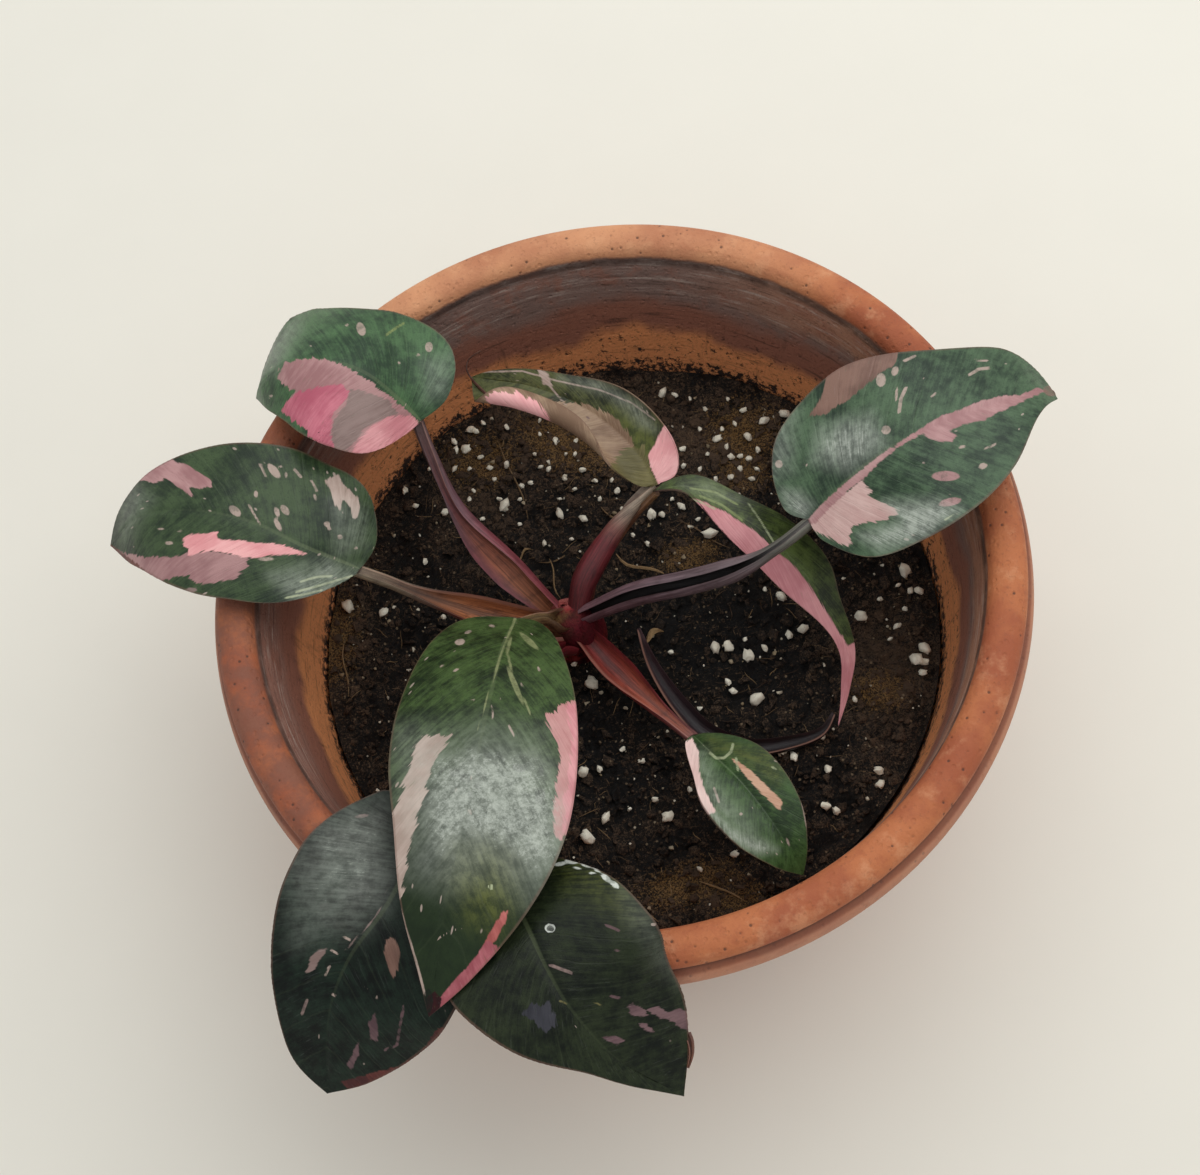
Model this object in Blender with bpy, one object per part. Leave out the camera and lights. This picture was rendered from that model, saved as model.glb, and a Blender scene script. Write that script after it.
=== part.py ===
"""A philodendron with pink and green leaves, in a wide terracotta pot of potting mix.

The origin is the middle of the pot's foot, +Z is up, and the pot's front faces -Y.
Sizes and places are in millimetres. add_solid turns each finished mesh into metres.
"""

import math
import random

import bmesh
import bpy
from mathutils import Matrix, Vector

MM = 0.001
GAP = 0.35  # between pieces that touch

# The pot
POT_HEIGHT = 123
RIM_RADIUS = 125
RIM_WIDTH = 14
COLLAR_HEIGHT = 17
FOOT_RADIUS = 86
FLOOR = 10
POT_SIDES = 48
DRAIN_RADIUS = 5
DRAIN_CIRCLE = 46
DRAINS = 3

# The soil
SOIL_TOP = 65
SOIL_SEED = 7
SOIL_RINGS = 13
SOIL_SIDES = 40
GRAINS = 38
GRAIN_SIZES = (1.5, 2.6)
HOLE_DEPTH = 20

# The crown, a short stem that all leaves grow from
CROWN = Vector((-17, 5, 0))
CROWN_FOOT_RADIUS = 7.5
CROWN_PROFILE = ((CROWN_FOOT_RADIUS, 66), (9.5, 71), (9.0, 80), (6.0, 87), (2.5, 90))

# Leaves
BLADE = 0.7  # thickness
BLADE_ROWS = 14
BLADE_COLUMNS = 4  # on each side of the midrib
STALK_END = 1.7  # radius of a stalk where it meets its blade
STALK_OPENING = 38  # half the angle of its groove there, in degrees
SHEATH_RADIUS = 4.6
SHEATH_OPENING = 72
STALK_WALL = 1.1
STALK_RINGS = 11
OUTER_POINTS = 7
INNER_POINTS = 5
BEND_STEPS = 8  # a blade's curl is summed over this many steps
RIPPLE = 0.8  # height of the ripples at a blade's edge
VEIN_FAN = 2.1  # how strongly the veins gather at the blade's base

# For each leaf: its midrib from base to tip, its left and right edges, as seen by someone
# who looks from the base to the tip, and its stalk's points from the crown.
# An edge's points are (share of the midrib's length, millimetres out from the midrib).
# Its rise is how far a half slopes up from the midrib at the base and on the body, and how
# much further it curls by its edge, in degrees.
LEAVES = {
    "leaf_upper_left": {
        "rib": (
            (-47, 65, 122), (-58, 76, 137), (-70, 83, 141),
            (-83, 87, 138), (-93, 89, 129), (-97, 89, 120),
        ),
        "left": ((0.06, 13), (0.16, 22), (0.35, 26), (0.6, 23), (0.85, 11)),
        "left_rise": (5, -12, -8),
        "right": ((-0.03, 12), (0.06, 26), (0.25, 31), (0.5, 28), (0.75, 30), (0.92, 28), (0.99, 14)),
        "right_rise": (5, -20, -15),
        "stalk": ((-22, 8, 80), (-30, 20, 90), (-40, 40, 101), (-45, 57, 113)),
        "sheath": 0.62,
    },
    "leaf_left": {
        "rib": (
            (-76, 24, 114), (-89, 29, 127), (-103, 39, 133),
            (-120, 48, 133), (-138, 54, 127), (-152, 54, 113),
        ),
        "left": ((0.03, 4), (0.15, 15), (0.31, 23), (0.5, 26), (0.7, 22), (0.87, 13)),
        "left_rise": (5, -5, -10),
        "right": ((-0.03, 10), (0.02, 22), (0.15, 29), (0.37, 29), (0.58, 24), (0.79, 15), (0.94, 9)),
        "right_rise": (5, -5, -10),
        "stalk": ((-22, 5, 78), (-38, 8, 88), (-58, 16, 98), (-70, 21, 108)),
        "sheath": 0.72,
    },
    "leaf_back": {
        "rib": (
            (19, 32, 104), (17, 41, 108), (10, 53, 111),
            (0, 64, 113), (-13, 74, 113), (-29, 83, 110),
        ),
        "left": ((0.05, 6), (0.3, 19), (0.6, 23), (0.85, 16)),
        "left_rise": (-10, -10, 200),
        "right": ((0, 8), (0.1, 12), (0.35, 12), (0.6, 7), (0.85, 4)),
        "right_rise": (20, 20, 30),
        "columns": 6,
        "stalk": ((-14, 8, 80), (-8, 14, 86), (4, 22, 93), (14, 28, 99)),
        "sheath": 0.55,
    },
    "leaf_right": {
        "rib": (
            (60, -2, 124), (79, 5, 136), (97, 9, 141),
            (117, 12, 140), (134, 16, 134), (142, 15, 127),
        ),
        "left": ((-0.04, 8), (0.02, 21), (0.12, 29), (0.33, 34), (0.5, 31), (0.74, 24), (0.93, 15)),
        "left_rise": (5, -8, -10),
        "right": ((0, 9), (0.1, 23), (0.3, 29), (0.5, 28), (0.69, 20), (0.85, 9)),
        "right_rise": (5, -5, -10),
        "stalk": ((-13, 5, 80), (5, 2, 93), (22, -3, 103), (38, -7, 114), (50, -6, 120)),
        "sheath": 0.7,
    },
    "leaf_young": {
        "rib": (
            (18, 28, 108), (29, 25, 111), (39, 14, 111), (50, 2, 107),
            (59, -14, 99), (64, -30, 88), (61, -41, 79), (56, -50, 73),
        ),
        "left": ((0.05, 3), (0.2, 6), (0.5, 10), (0.65, 6), (0.85, 3)),
        "left_rise": (5, -10, -10),
        "right": ((0.08, 4), (0.25, 8), (0.5, 7), (0.75, 4), (0.9, 3)),
        "right_rise": (5, -20, -30),
        "stalk": ((-13, 7, 79), (0, 13, 89), (10, 21, 98)),
        "sheath": 0.2,
    },
    "leaf_small": {
        "rib": (
            (11, -45, 84), (16, -56, 90), (21, -66, 93),
            (26, -78, 93), (30, -89, 89), (32, -96, 83),
        ),
        "left": ((0.12, 6), (0.3, 11), (0.5, 12), (0.7, 10), (0.87, 5)),
        "left_rise": (10, 10, -10),
        "right": ((0.03, 4), (0.25, 10), (0.45, 16), (0.65, 15), (0.85, 8)),
        "right_rise": (10, 15, 20),
        "stalk": ((-15, 1, 77), (-6, -17, 81), (3, -33, 81)),
        "sheath": 0.8,
    },
    "leaf_front": {
        "rib": (
            (-33, 1, 100), (-38, -12, 113), (-43, -29, 126), (-50, -51, 137),
            (-59, -76, 144), (-69, -99, 143), (-79, -122, 135),
        ),
        "left": ((0.02, 8), (0.12, 17), (0.3, 25), (0.52, 29), (0.67, 27), (0.8, 19), (0.92, 8)),
        "left_rise": (0, -6, -15),
        "right": ((0.02, 16), (0.12, 24), (0.3, 29), (0.48, 27), (0.65, 20), (0.8, 13), (0.92, 5)),
        "right_rise": (0, -6, -20),
        "stalk": ((-18, 4, 80), (-26, 4, 88)),
        "sheath": 0.4,
    },
    "leaf_front_left": {
        "rib": (
            (-70, -65, 121), (-77, -76, 127), (-86, -88, 130), (-98, -98, 128),
            (-107, -108, 121), (-113, -118, 109), (-117, -127, 97),
        ),
        "left": ((-0.03, 7), (0.08, 17), (0.25, 27), (0.45, 33), (0.65, 31), (0.8, 24), (0.93, 12)),
        "left_rise": (0, -3, -8),
        "right": ((-0.08, 15), (-0.04, 21), (0.1, 29), (0.3, 32), (0.5, 27), (0.7, 18), (0.9, 10)),
        "right_rise": (2, -3, -10),
        "stalk": ((-23, 0, 77), (-30, -6, 86), (-44, -24, 97), (-60, -49, 110)),
        "sheath": 0.5,
    },
    "leaf_front_right": {
        "rib": (
            (-52, -86, 127), (-48, -104, 135), (-45, -118, 136),
            (-41, -130, 133), (-32, -144, 122), (-18, -154, 105),
        ),
        "left": ((-0.03, 8), (0.06, 17), (0.2, 27), (0.4, 32), (0.6, 31), (0.8, 26), (0.93, 14)),
        "left_rise": (5, 0, -8),
        "right": ((-0.03, 8), (0.04, 17), (0.18, 25), (0.33, 27), (0.5, 19), (0.67, 8), (0.85, 3)),
        "right_rise": (5, 0, -10),
        "stalk": ((-19, -3, 77), (-27, -8, 86), (-40, -36, 99), (-47, -66, 114)),
        "sheath": 0.5,
    },
}

# The cataphyll, a sheath that guarded a young leaf and has fallen onto the soil
CATAPHYLL = (
    (3, -6, 84), (4, -13, 77), (6, -20, 73), (10, -30, 70), (16, -40, 68.4),
    (27, -48, 68.4), (41, -50, 68.4), (51, -49, 68.6), (56, -45, 71),
)
CATAPHYLL_RADIUS = 2.6

COLOURS = {
    "terracotta": ((0.50, 0.19, 0.09), 0.85),
    "soil": ((0.022, 0.015, 0.011), 0.95),
    "stalk": ((0.20, 0.035, 0.04), 0.5),
    "leaf": ((0.035, 0.07, 0.04), 0.35),
    "cataphyll": ((0.03, 0.012, 0.02), 0.45),
}


def clear_scene():
    for obj in list(bpy.data.objects):
        bpy.data.objects.remove(obj)


def material(name):
    found = bpy.data.materials.get(name)
    if found:
        return found
    colour, roughness = COLOURS[name]
    made = bpy.data.materials.new(name)
    made.use_nodes = True
    shader = made.node_tree.nodes["Principled BSDF"]
    shader.inputs["Base Color"].default_value = (*colour, 1)
    shader.inputs["Roughness"].default_value = roughness
    return made


def add_solid(name, mesh, finish):
    """Places a mesh that is in millimetres as an object in metres."""
    mesh.transform(Matrix.Scale(MM, 4))
    mesh.shade_smooth()
    mesh.set_sharp_from_angle(angle=math.radians(50))
    mesh.materials.append(material(finish))
    obj = bpy.data.objects.new(name, mesh)
    bpy.context.scene.collection.objects.link(obj)
    return obj


def hide_cutter(obj):
    obj.hide_render = True
    obj.display_type = "WIRE"
    return obj


def mesh_of(name, points, faces):
    mesh = bpy.data.meshes.new(name)
    mesh.from_pydata([tuple(p) for p in points], [], faces)
    return mesh


def lathe(name, profile, sides, centre=Vector()):
    """A solid turned from (radius, height) points that start and end on the axis."""
    points = [centre + Vector((0, 0, profile[0][1]))]
    for radius, height in profile[1:-1]:
        for k in range(sides):
            turn = math.tau * k / sides
            points.append(centre + Vector((radius * math.cos(turn), radius * math.sin(turn), height)))
    points.append(centre + Vector((0, 0, profile[-1][1])))
    rings = len(profile) - 2
    last = len(points) - 1
    faces = []
    for k in range(sides):
        after = (k + 1) % sides
        faces.append((0, 1 + after, 1 + k))
        for ring in range(rings - 1):
            low, high = 1 + ring * sides, 1 + (ring + 1) * sides
            faces.append((low + k, low + after, high + after, high + k))
        top = 1 + (rings - 1) * sides
        faces.append((top + k, top + after, last))
    return mesh_of(name, points, faces)


def spline(points, share):
    """A point of the smooth curve through the points, at a share from 0 to 1 of them."""
    spans = len(points) - 1
    place = min(max(share, 0), 1) * spans
    span = min(int(place), spans - 1)
    t = place - span
    before, a, b, after = (Vector(points[min(max(span + k, 0), spans)]) for k in (-1, 0, 1, 2))
    return 0.5 * (2 * a + (b - before) * t + (2 * before - 5 * a + 4 * b - after) * t**2
                  + (3 * a - before - 3 * b + after) * t**3)


def mix(a, b, share):
    return a + (b - a) * share


def eased(share):
    share = min(max(share, 0), 1)
    return share * share * (3 - 2 * share)


class Rib:
    """A smooth curve measured by its length, with the directions along, beside and above it."""

    STEPS = 80

    def __init__(self, points):
        self.points = [spline(points, k / self.STEPS) for k in range(self.STEPS + 1)]
        self.reach = [0.0]
        for a, b in zip(self.points, self.points[1:]):
            self.reach.append(self.reach[-1] + (b - a).length)
        self.length = self.reach[-1]

    def at(self, share):
        """The point at this share of the length, and the directions there."""
        wanted = min(max(share, 0), 1) * self.length
        k = max(1, next((i for i, r in enumerate(self.reach) if r >= wanted), self.STEPS))
        a, b = self.points[k - 1], self.points[k]
        point = a + (b - a) * ((wanted - self.reach[k - 1]) / (self.reach[k] - self.reach[k - 1]))
        low, high = max(k - 3, 0), min(k + 2, self.STEPS)
        along = (self.points[high] - self.points[low]).normalized()
        low, high = max(k - 16, 0), min(k + 16, self.STEPS)
        beside = (self.points[high] - self.points[low]).cross(Vector((0, 0, 1))).normalized()
        above = beside.cross(along).normalized()
        return point + along * (min(share, 0) * self.length), along, beside, above


def edge_of(leaf, side, length):
    """A blade's edge on one side as a measured curve of (along, out, 0) in millimetres."""
    inner = [(share * length, out, 0) for share, out in leaf[side]]
    return Rib([(0, 0, 0), *inner, (length, 0, 0)])


def blade_point(leaf, rib, along, out, side):
    """A blade's point, from its millimetres along the midrib and out from it on one side."""
    base, body, curl = leaf[side + "_rise"]
    share = along / rib.length
    half = max(width for _, width in leaf[side])
    point, _, beside, above = rib.at(share)
    rise = mix(base, body, eased((share + 0.05) / 0.35))
    lift = RIPPLE * (out / half) ** 2 * math.sin(9 * share + rib.length)
    across = 0.0
    for k in range(BEND_STEPS):
        slope = math.radians(rise + curl * (out / half * (k + 0.5) / BEND_STEPS) ** 2)
        across += out / BEND_STEPS * math.cos(slope)
        lift += out / BEND_STEPS * math.sin(slope)
    return point + (across if side == "right" else -across) * beside + lift * above


def blade(name, leaf):
    """A thin leaf blade: rows of points that follow the veins from the midrib to the edge."""
    rib = Rib(leaf["rib"])
    edges = {side: edge_of(leaf, side, rib.length) for side in ("left", "right")}
    points = [blade_point(leaf, rib, 0, 0, "left")]
    columns = leaf.get("columns", BLADE_COLUMNS)
    width = 2 * columns + 1
    for row in range(1, BLADE_ROWS):
        down = row / BLADE_ROWS
        root = rib.length * down**VEIN_FAN
        for column in range(-columns, columns + 1):
            side = "right" if column > 0 else "left"
            edge = edges[side].at(down)[0]
            out = abs(column) / columns
            points.append(blade_point(leaf, rib, mix(root, edge.x, out**1.2), out * edge.y, side))
    points.append(blade_point(leaf, rib, rib.length, 0, "left"))
    tip = len(points) - 1
    faces = []
    for k in range(width - 1):
        faces.append((0, 2 + k, 1 + k))
        for row in range(BLADE_ROWS - 2):
            a, b = 1 + row * width + k, 1 + (row + 1) * width + k
            if k < columns:
                faces += [(a, a + 1, b), (a + 1, b + 1, b)]
            else:
                faces += [(a, a + 1, b + 1), (a, b + 1, b)]
        last = 1 + (BLADE_ROWS - 2) * width + k
        faces.append((last, last + 1, tip))
    mesh = mesh_of(name, points, [face[::-1] for face in faces])
    bm = bmesh.new()
    bm.from_mesh(mesh)
    bmesh.ops.recalc_face_normals(bm, faces=bm.faces)
    bm.to_mesh(mesh)
    bm.free()
    obj = add_solid(name, mesh, "leaf")
    thickness = obj.modifiers.new("thickness", "SOLIDIFY")
    thickness.thickness = BLADE * MM
    thickness.offset = 0
    return obj


def channel(name, path, rings, shape):
    """A stalk with a groove along its top. shape(share) gives its radius, the angle that
    the groove is open by on each side, and the groove's depth from 0 to 1."""
    rib = Rib(path)
    points = []
    for ring in range(rings + 1):
        share = ring / rings
        radius, opening, depth = shape(share)
        centre, _, side, up = rib.at(share)
        reach = math.pi - math.radians(opening)
        outer = [reach * mix(-1, 1, k / (OUTER_POINTS - 1)) for k in range(OUTER_POINTS)]
        for turn in outer:
            points.append(centre + radius * (side * math.sin(turn) - up * math.cos(turn)))
        half_gap, level = radius * math.sin(reach), -radius * math.cos(reach)
        inside = radius - STALK_WALL
        for k in range(INNER_POINTS):
            t = mix(0.78, -0.78, k / (INNER_POINTS - 1))
            flat = Vector((half_gap * t, level))
            deep = inside * Vector((math.sin(reach * t), -math.cos(reach * t)))
            x, z = flat.lerp(deep, depth)
            points.append(centre + side * x + up * z)
    count = OUTER_POINTS + INNER_POINTS
    faces = [tuple(range(count)), tuple(rings * count + k for k in reversed(range(count)))]
    for ring in range(rings):
        for k in range(count):
            a, b = ring * count + k, ring * count + (k + 1) % count
            faces.append((b, a, a + count, b + count))
    mesh = mesh_of(name, points, faces)
    bm = bmesh.new()
    bm.from_mesh(mesh)
    bmesh.ops.triangulate(bm, faces=bm.faces)
    bmesh.ops.recalc_face_normals(bm, faces=bm.faces)
    bm.to_mesh(mesh)
    bm.free()
    return mesh


def pot_profile():
    """The pot's (radius, height) points, from under its foot to the middle of its floor."""
    top, rim, inner = POT_HEIGHT, RIM_RADIUS, RIM_RADIUS - RIM_WIDTH
    low = top - COLLAR_HEIGHT
    outside = [
        (FOOT_RADIUS - 2, 0), (FOOT_RADIUS, 2), (FOOT_RADIUS + 10, 30), (FOOT_RADIUS + 20, 60),
        (FOOT_RADIUS + 30, low - 3), (rim - 5, low - 1.5), (rim - 2, low), (rim, low + 2.5),
    ]
    lip = [
        (rim, top - 5.5), (rim - 0.9, top - 4.4), (rim - 1.3, top - 2.8), (rim - 3, top - 1.2),
        (rim - 5.5, top - 0.3), (rim - 8.5, top), (inner + 2.2, top - 1), (inner, top - 3.5),
    ]
    inside = [(inner_radius(height), height) for height in (98, 80, 60, 40, 22)]
    floor = [(inner_radius(FLOOR) - 3, FLOOR + 2), (inner_radius(FLOOR) - 8, FLOOR)]
    return [(0, 0), *outside, *lip, *inside, *floor, (0, FLOOR)]


def inner_radius(height):
    """The radius of the pot's inner wall, which leans in more towards the floor."""
    depth = POT_HEIGHT - height
    return RIM_RADIUS - RIM_WIDTH - 0.12 * depth - 0.0009 * depth**2


def make_pot():
    pot = add_solid("pot", lathe("pot", pot_profile(), POT_SIDES), "terracotta")
    for k in range(DRAINS):
        turn = math.tau * (k + 0.5) / DRAINS
        place = Vector((DRAIN_CIRCLE * math.cos(turn), DRAIN_CIRCLE * math.sin(turn), 0))
        profile = ((0, -5), (DRAIN_RADIUS, -5), (DRAIN_RADIUS, FLOOR + 5), (0, FLOOR + 5))
        drill = add_solid(f"drain_{k}", lathe("drain", profile, 16, place), "terracotta")
        cut = pot.modifiers.new(drill.name, "BOOLEAN")
        cut.operation = "DIFFERENCE"
        cut.object = hide_cutter(drill)


def soil_height(x, y):
    """The height of the soil's lumpy top."""
    swell = 1.6 * math.sin(x / 19 + 0.7) * math.cos(y / 23 - 0.4)
    lumps = 1.1 * math.sin(x / 5.3 + 1.9 * math.sin(y / 7.1)) * math.sin(y / 6.1 + 1.3)
    return SOIL_TOP + swell + lumps


def grain(centre, size, rng):
    """The points and faces of one angular grain."""
    bm = bmesh.new()
    bmesh.ops.create_icosphere(bm, subdivisions=1, radius=size)
    stretch = Vector((rng.uniform(0.8, 1.4), rng.uniform(0.8, 1.1), rng.uniform(0.7, 1)))
    turn = Matrix.Rotation(rng.uniform(0, math.tau), 3, "Z")
    for vertex in bm.verts:
        rough = vertex.co * rng.uniform(0.85, 1.1)
        vertex.co = turn @ Vector(a * b for a, b in zip(rough, stretch)) + centre
    mesh = bpy.data.meshes.new("grain")
    bm.to_mesh(mesh)
    bm.free()
    return mesh


def grain_places(rng):
    """Where the grains lie, spread evenly and clear of the crown and of each other."""
    places = []
    while len(places) < GRAINS:
        turn, reach = rng.uniform(0, math.tau), 92 * math.sqrt(rng.random())
        place = Vector((reach * math.cos(turn), reach * math.sin(turn), 0))
        clear_of_crown = (place - CROWN).length > 20
        if clear_of_crown and all((place - other).length > 9 for other in places):
            places.append(place)
    return places


def make_soil():
    points = [Vector((0, 0, FLOOR + GAP))]
    wall_heights = (FLOOR + GAP, 22, 40, SOIL_TOP - 6)
    for height in wall_heights:
        radius = inner_radius(height) - (9 if height == wall_heights[0] else 1.2)
        for k in range(SOIL_SIDES):
            turn = math.tau * k / SOIL_SIDES
            points.append(Vector((radius * math.cos(turn), radius * math.sin(turn), height)))
    edge = inner_radius(SOIL_TOP) - 1.0
    for ring in range(SOIL_RINGS):
        radius = edge * (1 - ring / SOIL_RINGS)
        for k in range(SOIL_SIDES):
            turn = math.tau * (k + 0.5 * (ring % 2)) / SOIL_SIDES
            x, y = radius * math.cos(turn), radius * math.sin(turn)
            points.append(Vector((x, y, soil_height(x, y))))
    points.append(Vector((0, 0, soil_height(0, 0))))
    rings = len(wall_heights) + SOIL_RINGS
    last = len(points) - 1
    faces = []
    for k in range(SOIL_SIDES):
        after = (k + 1) % SOIL_SIDES
        faces.append((0, 1 + after, 1 + k))
        for ring in range(rings - 1):
            low, high = 1 + ring * SOIL_SIDES, 1 + (ring + 1) * SOIL_SIDES
            faces += [(low + k, low + after, high + after), (low + k, high + after, high + k)]
        top = 1 + (rings - 1) * SOIL_SIDES
        faces.append((top + k, top + after, last))
    soil = add_solid("soil", mesh_of("soil", points, faces), "soil")
    rng = random.Random(SOIL_SEED)
    heap = bpy.data.collections.new("grains")
    bpy.context.scene.collection.children.link(heap)
    for number, place in enumerate(grain_places(rng)):
        size = rng.uniform(*GRAIN_SIZES)
        place.z = soil_height(place.x, place.y) + 0.1 * size
        piece = add_solid(f"grain_{number}", grain(place, size, rng), "soil")
        bpy.context.scene.collection.objects.unlink(piece)
        heap.objects.link(piece)
    heap.hide_render = True
    raised = soil.modifiers.new("grains", "BOOLEAN")
    raised.operation = "UNION"
    raised.operand_type = "COLLECTION"
    raised.collection = heap
    bottom = SOIL_TOP - HOLE_DEPTH - GAP
    radius = CROWN_FOOT_RADIUS + GAP
    profile = ((0, bottom), (radius, bottom), (radius, SOIL_TOP + 20), (0, SOIL_TOP + 20))
    drill = add_solid("stem_hole", lathe("stem_hole", profile, 24, CROWN), "soil")
    hole = soil.modifiers.new("stem_hole", "BOOLEAN")
    hole.operation = "DIFFERENCE"
    hole.object = hide_cutter(drill)


def stalk_shape(sheath):
    """A stalk's section along its length: an open sheath that closes to a grooved stalk."""
    def shape(share):
        close = eased(share / sheath)
        opening = mix(SHEATH_OPENING, STALK_OPENING, close)
        return mix(SHEATH_RADIUS, STALK_END, close), opening, mix(1, 0.15, close)
    return shape


def make_stem():
    foot = SOIL_TOP - HOLE_DEPTH
    profile = ((0, foot), (CROWN_FOOT_RADIUS, foot), *CROWN_PROFILE, (0, CROWN_PROFILE[-1][1] + 1))
    stem = add_solid("stem", lathe("stem", profile, 20, CROWN), "stalk")
    for name, leaf in LEAVES.items():
        base, along, _, above = Rib(leaf["rib"]).at(0)
        reach = STALK_END * math.cos(math.radians(STALK_OPENING)) + BLADE / 2 + GAP
        seat = base - above * reach + along * 0.5
        path = [*leaf["stalk"], seat]
        mesh = channel(f"stalk_{name}", path, STALK_RINGS, stalk_shape(leaf["sheath"]))
        piece = hide_cutter(add_solid(f"stalk_{name}", mesh, "stalk"))
        join = stem.modifiers.new(name, "BOOLEAN")
        join.operation = "UNION"
        join.object = piece


def make_leaves():
    for name, leaf in LEAVES.items():
        blade(name, leaf)


def make_cataphyll():
    def shape(share):
        swell = math.sin(math.pi * mix(0.12, 0.94, share)) ** 0.6
        return CATAPHYLL_RADIUS * swell, 62, 0.75
    add_solid("cataphyll", channel("cataphyll", CATAPHYLL, 16, shape), "cataphyll")


clear_scene()
make_pot()
make_soil()
make_stem()
make_leaves()
make_cataphyll()
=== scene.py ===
import math
import random

import bmesh
import bpy
import numpy as np
from mathutils import Matrix, Vector, noise


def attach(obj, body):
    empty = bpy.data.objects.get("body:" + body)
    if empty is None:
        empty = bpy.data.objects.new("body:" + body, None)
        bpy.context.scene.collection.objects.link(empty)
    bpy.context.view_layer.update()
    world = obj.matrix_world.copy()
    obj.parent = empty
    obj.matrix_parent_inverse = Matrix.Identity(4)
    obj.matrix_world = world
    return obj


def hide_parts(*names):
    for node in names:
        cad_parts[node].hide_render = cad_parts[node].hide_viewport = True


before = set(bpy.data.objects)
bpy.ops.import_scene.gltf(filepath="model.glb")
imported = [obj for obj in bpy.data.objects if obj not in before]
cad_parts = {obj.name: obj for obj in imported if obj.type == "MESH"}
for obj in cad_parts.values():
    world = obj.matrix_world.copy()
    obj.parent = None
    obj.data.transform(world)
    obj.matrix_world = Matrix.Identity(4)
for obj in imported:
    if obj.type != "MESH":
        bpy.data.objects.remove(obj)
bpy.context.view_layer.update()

mm = 0.001
tau = math.tau
upright = Vector((0, 0, 1))

# the camera: pixels are those of the 1200 x 1175 photograph
photo = {"width": 1200, "height": 1175, "focal": 2000}
standpoint = {"target": (-5.6, -4.8, 120), "distance": 601.5, "elevation": 66, "roll": -14.3}

lean, roll = math.radians(standpoint["elevation"]), math.radians(standpoint["roll"])
viewBack = Vector((0, -math.cos(lean), math.sin(lean)))
levelUp = Vector((1, 0, 0)).cross(-viewBack)
viewRight = math.cos(roll) * Vector((1, 0, 0)) + math.sin(roll) * levelUp
viewUp = -math.sin(roll) * Vector((1, 0, 0)) + math.cos(roll) * levelUp
viewFrom = Vector(standpoint["target"]) + viewBack * standpoint["distance"]


def setCamera():
    data = bpy.data.cameras.new("camera")
    data.sensor_fit = "HORIZONTAL"
    data.sensor_width = 36
    data.lens = data.sensor_width * photo["focal"] / photo["width"]
    data.clip_start, data.clip_end = 0.01, 20
    camera = bpy.data.objects.new("camera", data)
    bpy.context.scene.collection.objects.link(camera)
    turn = Matrix((viewRight, viewUp, viewBack)).transposed().to_4x4()
    camera.matrix_world = Matrix.Translation(viewFrom * mm) @ turn
    bpy.context.scene.camera = camera


def underPixel(u, v, height):
    # the point in mm at this height that the camera sees at a pixel of the photograph
    ray = -viewBack + ((u - photo["width"] / 2) * viewRight
                       - (v - photo["height"] / 2) * viewUp) / photo["focal"]
    return viewFrom + ray * ((height - viewFrom.z) / ray.z)


def pixelsOf(points):
    # where the camera sees points given in mm, as rows of u, v
    toPoint = points - np.array(viewFrom)
    depth = -toPoint @ np.array(viewBack)
    return np.stack([photo["width"] / 2 + photo["focal"] * (toPoint @ np.array(viewRight)) / depth,
                     photo["height"] / 2 - photo["focal"] * (toPoint @ np.array(viewUp)) / depth], 1)


def lineReach(pixels, points):
    # each pixel's distance from a line through points
    nearest = np.full(len(pixels), 1e6)
    for a, b in zip(points, points[1:]):
        a, along = np.array(a, float), np.subtract(b, a).astype(float)
        share = np.clip((pixels - a) @ along / (along @ along), 0, 1)
        nearest = np.minimum(nearest, np.hypot(*(pixels - a - share[:, None] * along).T))
    return nearest


def outlineDepth(pixels, outline):
    # how many pixels inside an outline each pixel lies, below 0 outside
    ring = [*outline, outline[0]]
    inside = np.zeros(len(pixels), bool)
    for (ax, ay), (bx, by) in zip(ring, ring[1:]):
        if ay != by:
            crosses = (pixels[:, 1] < ay) != (pixels[:, 1] < by)
            at = ax + (pixels[:, 1] - ay) * (bx - ax) / (by - ay)
            inside ^= crosses & (pixels[:, 0] < at)
    return np.where(inside, 1, -1) * lineReach(pixels, ring)


def dabDepth(pixels, x, y, length, width, turn):
    angle = math.radians(turn)
    dx, dy = pixels[:, 0] - x, pixels[:, 1] - y
    along = (dx * math.cos(angle) + dy * math.sin(angle)) / length
    across = (dy * math.cos(angle) - dx * math.sin(angle)) / width
    return (1 - np.hypot(along, across)) * min(length, width)


setCamera()
print("camera set")


# small helpers for the maths of shapes
def mix(a, b, share):
    return a + (b - a) * share


def eased(share):
    share = min(max(share, 0), 1)
    return share * share * (3 - 2 * share)


def spline(points, share):
    spans = len(points) - 1
    place = min(max(share, 0), 1) * spans
    span = min(int(place), spans - 1)
    t = place - span
    before, a, b, after = (Vector(points[min(max(span + k, 0), spans)]) for k in (-1, 0, 1, 2))
    return 0.5 * (2 * a + (b - before) * t + (2 * before - 5 * a + 4 * b - after) * t**2
                  + (3 * a - before - 3 * b + after) * t**3)


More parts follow.
